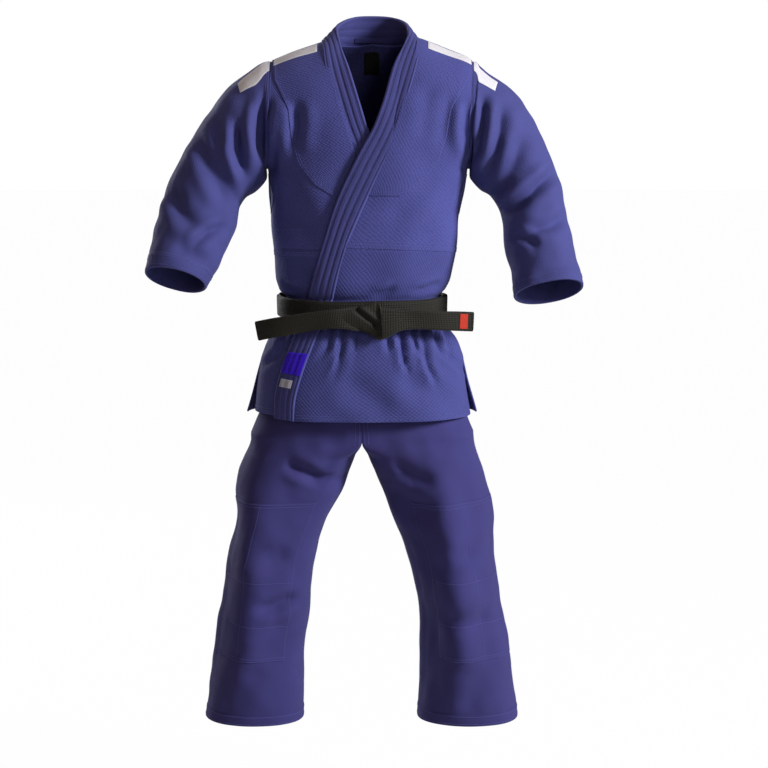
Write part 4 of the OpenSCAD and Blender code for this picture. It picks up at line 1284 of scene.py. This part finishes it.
TAPE_END = 30.0                                  # row of the sleeve where the tape ends
TAPE_NEAR, TAPE_FAR = (4.5, 19.0), (8.0, 14.5)   # its columns at the seam and at its end

# sleeves: cuff stitching, elbow seam and the seam round the armhole
for side, hand in (("left", 1), ("right", -1)):
    g, n = sleeve_grids[side]
    pair = sleeve_blend(side, hand)
    closed, closed_n = closed_ring(g), closed_ring(n)
    m = g.shape[1]
    around = np.linspace(0, m - 0.01, 300)
    for back_by in (3.2, 8.4):
        stitch_on(side + "_sleeve_stitching", closed, closed_n, len(g) - back_by, around, 3.2)
    for from_start in (2.0, 4.2):
        stitch_on(side + "_sleeve_stitching", closed, closed_n, from_start, around, 1.9)
    for offset in (-1.2, 1.2):
        stitch_on(side + "_sleeve_stitching", closed, closed_n, np.linspace(3, len(g) - 10, 300),
                  m / 2 + offset, 1.9)
    share = np.linspace(0, 1, 20)[:, None]
    low, high = mix(TAPE_NEAR[0], TAPE_FAR[0], share), mix(TAPE_NEAR[1], TAPE_FAR[1], share)
    overlay(side + "_sleeve_tape_strip", closed, closed_n, mix(1.5, TAPE_END, share),
            mix(low, high, np.linspace(0, 1, 8)[None]), TOP + 0.2, 1.0, "tape", pair)
    sew(side + "_sleeve_stitching", pair)

# trousers: knee patches, hems, side seams, waistband, drawstring and gusset
for side, hand in (("left", 1), ("right", -1)):
    g, n = trouser_grids[side]
    pair = leg_blend(side, hand)
    group = side + "_trouser_stitching"
    m = g.shape[1]
    closed, closed_n = closed_ring(g), closed_ring(n)
    middle = OUTER / 4 if hand > 0 else OUTER * 3 / 4
    top, bottom = row_at(g, middle, -925), row_at(g, middle, -1262)
    first, second = (1, OUTER / 2 - 2) if hand > 0 else (OUTER / 2 + 2, OUTER - 1)
    rows, columns = np.linspace(bottom, top, 90), np.linspace(first, second, 44)
    overlay(side + "_knee_patch_cloth", g, n, rows[:, None], columns[None], TROUSER_CLOTH / 2, 1.3,
            "trouser", side + "_leg", [side + "_knee_patch"])
    for row in (bottom + 0.6, bottom + 1.9, top - 0.6, top - 1.9,
                row_at(g, middle, -1090), row_at(g, middle, -1184)):
        stitch_on(group, g, n, row, np.linspace(first + 0.4, second - 0.4, 80), 2.8)
    for column in (first + 0.8, second - 0.8, (first + second) / 2):
        stitch_on(group, g, n, np.linspace(bottom + 0.6, top - 0.6, 200), column, 2.8)
    # hem band
    around = np.linspace(0, m, 180)
    hem_rows = np.linspace(0.15, 5.6, 6)[:, None]
    hem = sample(closed, hem_rows, around) + normals_at(closed_n, hem_rows, around) * 1.9
    obj = sheet_mesh(side + "_hem_band", hem[:, :-1], ring=True)
    thicken(obj, 1.1, bevel=0.45)
    finish_piece(obj, "trouser")
    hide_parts(side + "_leg_hem")
    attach(obj, side + "_leg")
    for row in (1.2, 4.9):
        stitch_on(group, closed, closed_n, row, np.linspace(0, m - 0.01, 300), 2.6)
    # side seam, inseam, and the centre seam above the crotch
    low_rows = np.linspace(6, row_at(g, OUTER / 2, -610), 300)
    for offset in (-0.7, 1.0):
        stitch_on(group, g, n, low_rows, OUTER / 2 + offset, 1.5)
    inner_rows = np.linspace(6, row_at(g, 0, -836), 240)
    stitch_on(group, g, n, inner_rows, OUTER + WALL / 2 + 0.6, 1.5)
    for column in (0, OUTER):
        inset = 0.8 if column == 0 else -0.8
        rows = np.linspace(row_at(g, column, CROTCH + 3), row_at(g, column, -600), 90)
        for share in (1, 2.6):
            stitch_on(group, g, n, rows, column + share * inset, 1.5)
    sew(group, pair)

# waistband, and the drawstring inside it
both = []
for z in (-579, -565, -551.5):
    right = hip_side(-1, z)[:OUTER + 1][::-1]
    left = hip_side(1, z)[:OUTER + 1]
    both.append(np.concatenate([left, right[1:-1]]))
band_ring = np.array(both)
n = ring_normals(band_ring)
cord_ring = mix(band_ring[:1], band_ring[-1:], np.array((0.3, 0.5, 0.7))[:, None, None])
for name, move, thick, material, node, cut, wide in (
        ("waistband_cloth", 2.2, 1.6, "trouser", "waistband", band_ring, 0.028),
        ("drawstring_cord", -3.2, 1.8, "cord", "drawstring", cord_ring, 0.011)):
    obj = sheet_mesh(name, cut + n[:1] * move, ring=True)
    thicken(obj, thick, bevel=0.4)
    finish_piece(obj, material)
    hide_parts(node)
    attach(obj, "trousers")

t = np.linspace(-1, 1, 61)
saddle = np.stack([np.stack([MIDDLE + 15 * a * (1 - 0.35 * t ** 2), 103 * t,
                             CROTCH + 7 * np.abs(t) ** 3 - 5 * a * a], -1)
                   for a in np.linspace(-1, 1, 9)])
obj = sheet_mesh("crotch_gusset_cloth", saddle)
thicken(obj, TROUSER_CLOTH, bevel=1)
finish_piece(obj, "trouser")
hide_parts("crotch_gusset")
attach(obj, "trousers")

# ---------------------------------------------------------------- belt

BELT_WIDE, BELT_THICK, BELT_ROWS = 40, 3.4, 9
belt_box_low, belt_box_high = (np.array(c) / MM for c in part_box("belt_inner_turn"))
BELT_HALF = (belt_box_high[0] - belt_box_low[0]) / 2 - BELT_THICK
BELT_FRONT, BELT_BACK = -belt_box_low[1] - BELT_THICK, belt_box_high[1] - BELT_THICK
BELT_MIDDLE = (belt_box_low[2] + belt_box_high[2]) / 2 + 3
HALF_SECTION = 60


def belt_section():
    """Across the belt, from -0.5 to 0.5 on its face and back on its other side, and how far out."""
    v = np.linspace(-0.5, 0.5, HALF_SECTION)
    rim = np.clip(1 - np.abs(2 * v) ** 14, 0, 1) ** 0.5
    grooves = sum(np.exp(-((v - k) / 0.012) ** 2) for k in np.linspace(-0.44, 0.44, BELT_ROWS))
    face = BELT_THICK * (0.5 + 0.5 * rim) - 0.6 * grooves
    other = BELT_THICK * (0.5 - 0.5 * rim) + 0.3 * grooves
    return np.r_[v, v[::-1]], np.r_[face, other[::-1]]


def belt_turn(name, away, shift, node):
    """One turn round the waist; it hangs a little lower in front and waves slightly."""
    t = np.linspace(0, 2 * np.pi, 301)
    s, c = np.sin(t), -np.cos(t)
    p = 2 / ROUND
    x = MIDDLE + (BELT_HALF + away) * np.sign(s) * np.abs(s) ** p
    y = (np.where(c < 0, BELT_FRONT, BELT_BACK) + away) * np.sign(c) * np.abs(c) ** p
    z = BELT_MIDDLE + shift - 6 * np.maximum(0, -c) + 0.8 * np.sin(3 * t + away) + 0.5 * np.sin(7 * t)
    path = np.stack([x, y, z], -1)
    path[-1] = path[0]
    along = np.gradient(path, axis=0)
    along[0] = along[-1] = path[1] - path[-2]
    out = np.stack([along[:, 1], -along[:, 0], 0 * s], -1)
    out = unit(out)
    across, depth_out = belt_section()
    lean_out = 0.03 * np.sin(2 * t + away)
    up = np.stack([0 * s, 0 * s, 1 + 0 * s], -1) + out * lean_out[:, None]
    g = (path[:, None] + up[:, None] * (across * BELT_WIDE)[None, :, None]
         + out[:, None] * depth_out[None, :, None])
    obj = sheet_mesh(name, g, ring=True)
    face_outward(obj, lambda shell: bmesh.ops.remove_doubles(shell, verts=shell.verts, dist=1e-6))
    finish_piece(obj, "belt")
    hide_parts(node)
    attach(obj, "jacket")


belt_turn("belt_inner_turn_cloth", 0.0, 1.5, "belt_inner_turn")
belt_turn("belt_outer_turn_cloth", BELT_THICK + 0.5, -0.5, "belt_outer_turn")

KNOT_FRONT, KNOT_Z = -129, -540
LEFT_FLARE, RIGHT_FLARE = 26, 10      # how much wider each tail starts at the knot
LEFT_TAIL = [[20, -139, -541], [54, -139, -541], [86, -137, -542], [118, -132, -543],
             [152, -124, -545], [186, -114, -547], [216, -104, -549]]
RIGHT_TAIL = [[-14, -136, -536], [-42, -137, -538], [-76, -137, -541], [-112, -132, -546],
              [-152, -122, -553], [-192, -110, -561], [-227, -98, -569]]


def tail_frame(path, u, flare):
    """Middle, up and outward directions, and width, at each place u along a tail."""
    p = np.array([curve(path, k) for k in u])
    hand = np.sign(path[-1][0])
    along = unit(np.gradient(p, axis=0))
    up = np.stack([0.1 * hand + 0 * u, 0.09 * np.sin(1.4 * u), 1 + 0 * u], -1)
    up = unit(up - along * (up * along).sum(1, keepdims=True))
    out = np.cross(along, up) * hand
    wider = flare * np.exp(-((u - 0.2) / 0.9) ** 2)
    wide = BELT_WIDE + wider - 2 * np.exp(-((u - 2.6) / 1.2) ** 2)
    corner = clamp((u - (len(path) - 1) + 0.12) / 0.12)
    wide = wide - 5 * (1 - np.sqrt(np.maximum(0, 1 - corner ** 2)))
    p = p + (0, 0, -0.32) * wider[:, None]
    p = p + out * (1.6 * np.sin(1.9 * u + hand))[:, None]
    return p, up, out, wide


def belt_tail(name, path, flare, body, node):
    last = len(path) - 1
    u = np.r_[np.linspace(0, last - 0.13, 130), last - 0.12 * np.cos(np.linspace(0, np.pi / 2, 8))]
    p, up, out, wide = tail_frame(path, u, flare)
    across, depth_out = belt_section()
    g = (p[:, None] + up[:, None] * (across[None] * wide[:, None])[..., None]
         + out[:, None] * (depth_out - BELT_THICK / 2)[None, :, None])
    obj = capped_tube(name, g, "belt")
    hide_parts(node)
    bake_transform(obj)
    # rows of stitching across the end
    group = name + "_stitching"
    for from_end in (0.16, 0.24):
        near = last - from_end + np.array((-0.05, 0, 0.05))
        q, q_up, q_out, _ = tail_frame(path, near, flare)
        line = q[1] + q_up[1] * np.linspace(-17, 17, 24)[:, None] + q_out[1] * (BELT_THICK / 2 + 0.1)
        stitch(group, line, np.repeat(q_out[1:2], 24, 0))
    sew(group, body, "belt")


belt_tail("left_tail_strap", LEFT_TAIL, LEFT_FLARE, "left_belt_tail", "left_tail")
belt_tail("right_tail_strap", RIGHT_TAIL, RIGHT_FLARE, "right_belt_tail", "right_tail")

u = np.linspace(5.06, 5.52, 14)
p, up, out, _ = tail_frame(LEFT_TAIL, u, LEFT_FLARE)
bar = (p[:, None] + up[:, None] * np.linspace(-15, 15, 16)[None, :, None]
       + out[:, None] * (BELT_THICK / 2 + 0.5))
obj = sheet_mesh("tail_mark_patch", bar)
thicken(obj, 1.0, bevel=0.35)
finish_piece(obj, "mark")
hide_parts("left_tail_mark")
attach(obj, "left_belt_tail")

# the flat knot: the belt folded over itself, with a sharp upright fold at its right
KNOT_TOP = [(-52, -523), (-38, -521), (-20, -516), (0, -508), (14, -504), (22, -506), (27, -512)]
KNOT_LOW = [(-52, -556), (-38, -560), (-20, -562), (0, -570), (16, -580), (27, -584), (32, -580)]
s = np.linspace(0, 6, 70)
top_edge, low_edge = (
    np.stack([np.interp(s, np.arange(7), column) for column in np.array(edge, float).T], -1)
    for edge in (KNOT_TOP, KNOT_LOW))
v = np.linspace(0, 1, HALF_SECTION)
x = mix(low_edge[:, :1], top_edge[:, :1], v[None])
z = mix(low_edge[:, 1:], top_edge[:, 1:], v[None])
share = s[:, None] / 6
crease = z - KNOT_Z + 0.75 * (x - 2)
y = (KNOT_FRONT - 8 - 9 * np.sin(np.pi * v[None]) ** 0.6 * (0.35 + 0.65 * share)
     + 5 * np.exp(-(crease / 6) ** 2) * np.sin(np.pi * share)
     - 3 * np.exp(-((crease - 12) / 7) ** 2) * np.sin(np.pi * share)
     - 5 * smooth((share - 0.72) / 0.28))
grooves = sum(np.exp(-((v - k) / 0.010) ** 2) for k in np.linspace(0.07, 0.93, BELT_ROWS))
face = np.stack([x, y + 0.5 * grooves[None], z], -1)
other = np.stack([x, y + 7 + 0 * z, z], -1)
rim = np.clip(1 - np.abs(2 * v - 1) ** 10, 0, 1)[None, :, None] ** 0.5
middle_face = (face + other) / 2
g = np.concatenate([middle_face + (face - middle_face) * rim,
                    (middle_face + (other - middle_face) * rim)[:, ::-1]], 1)
knot = capped_tube("belt_knot_wrap", g, "belt")
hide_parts("belt_knot")
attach(knot, "jacket")
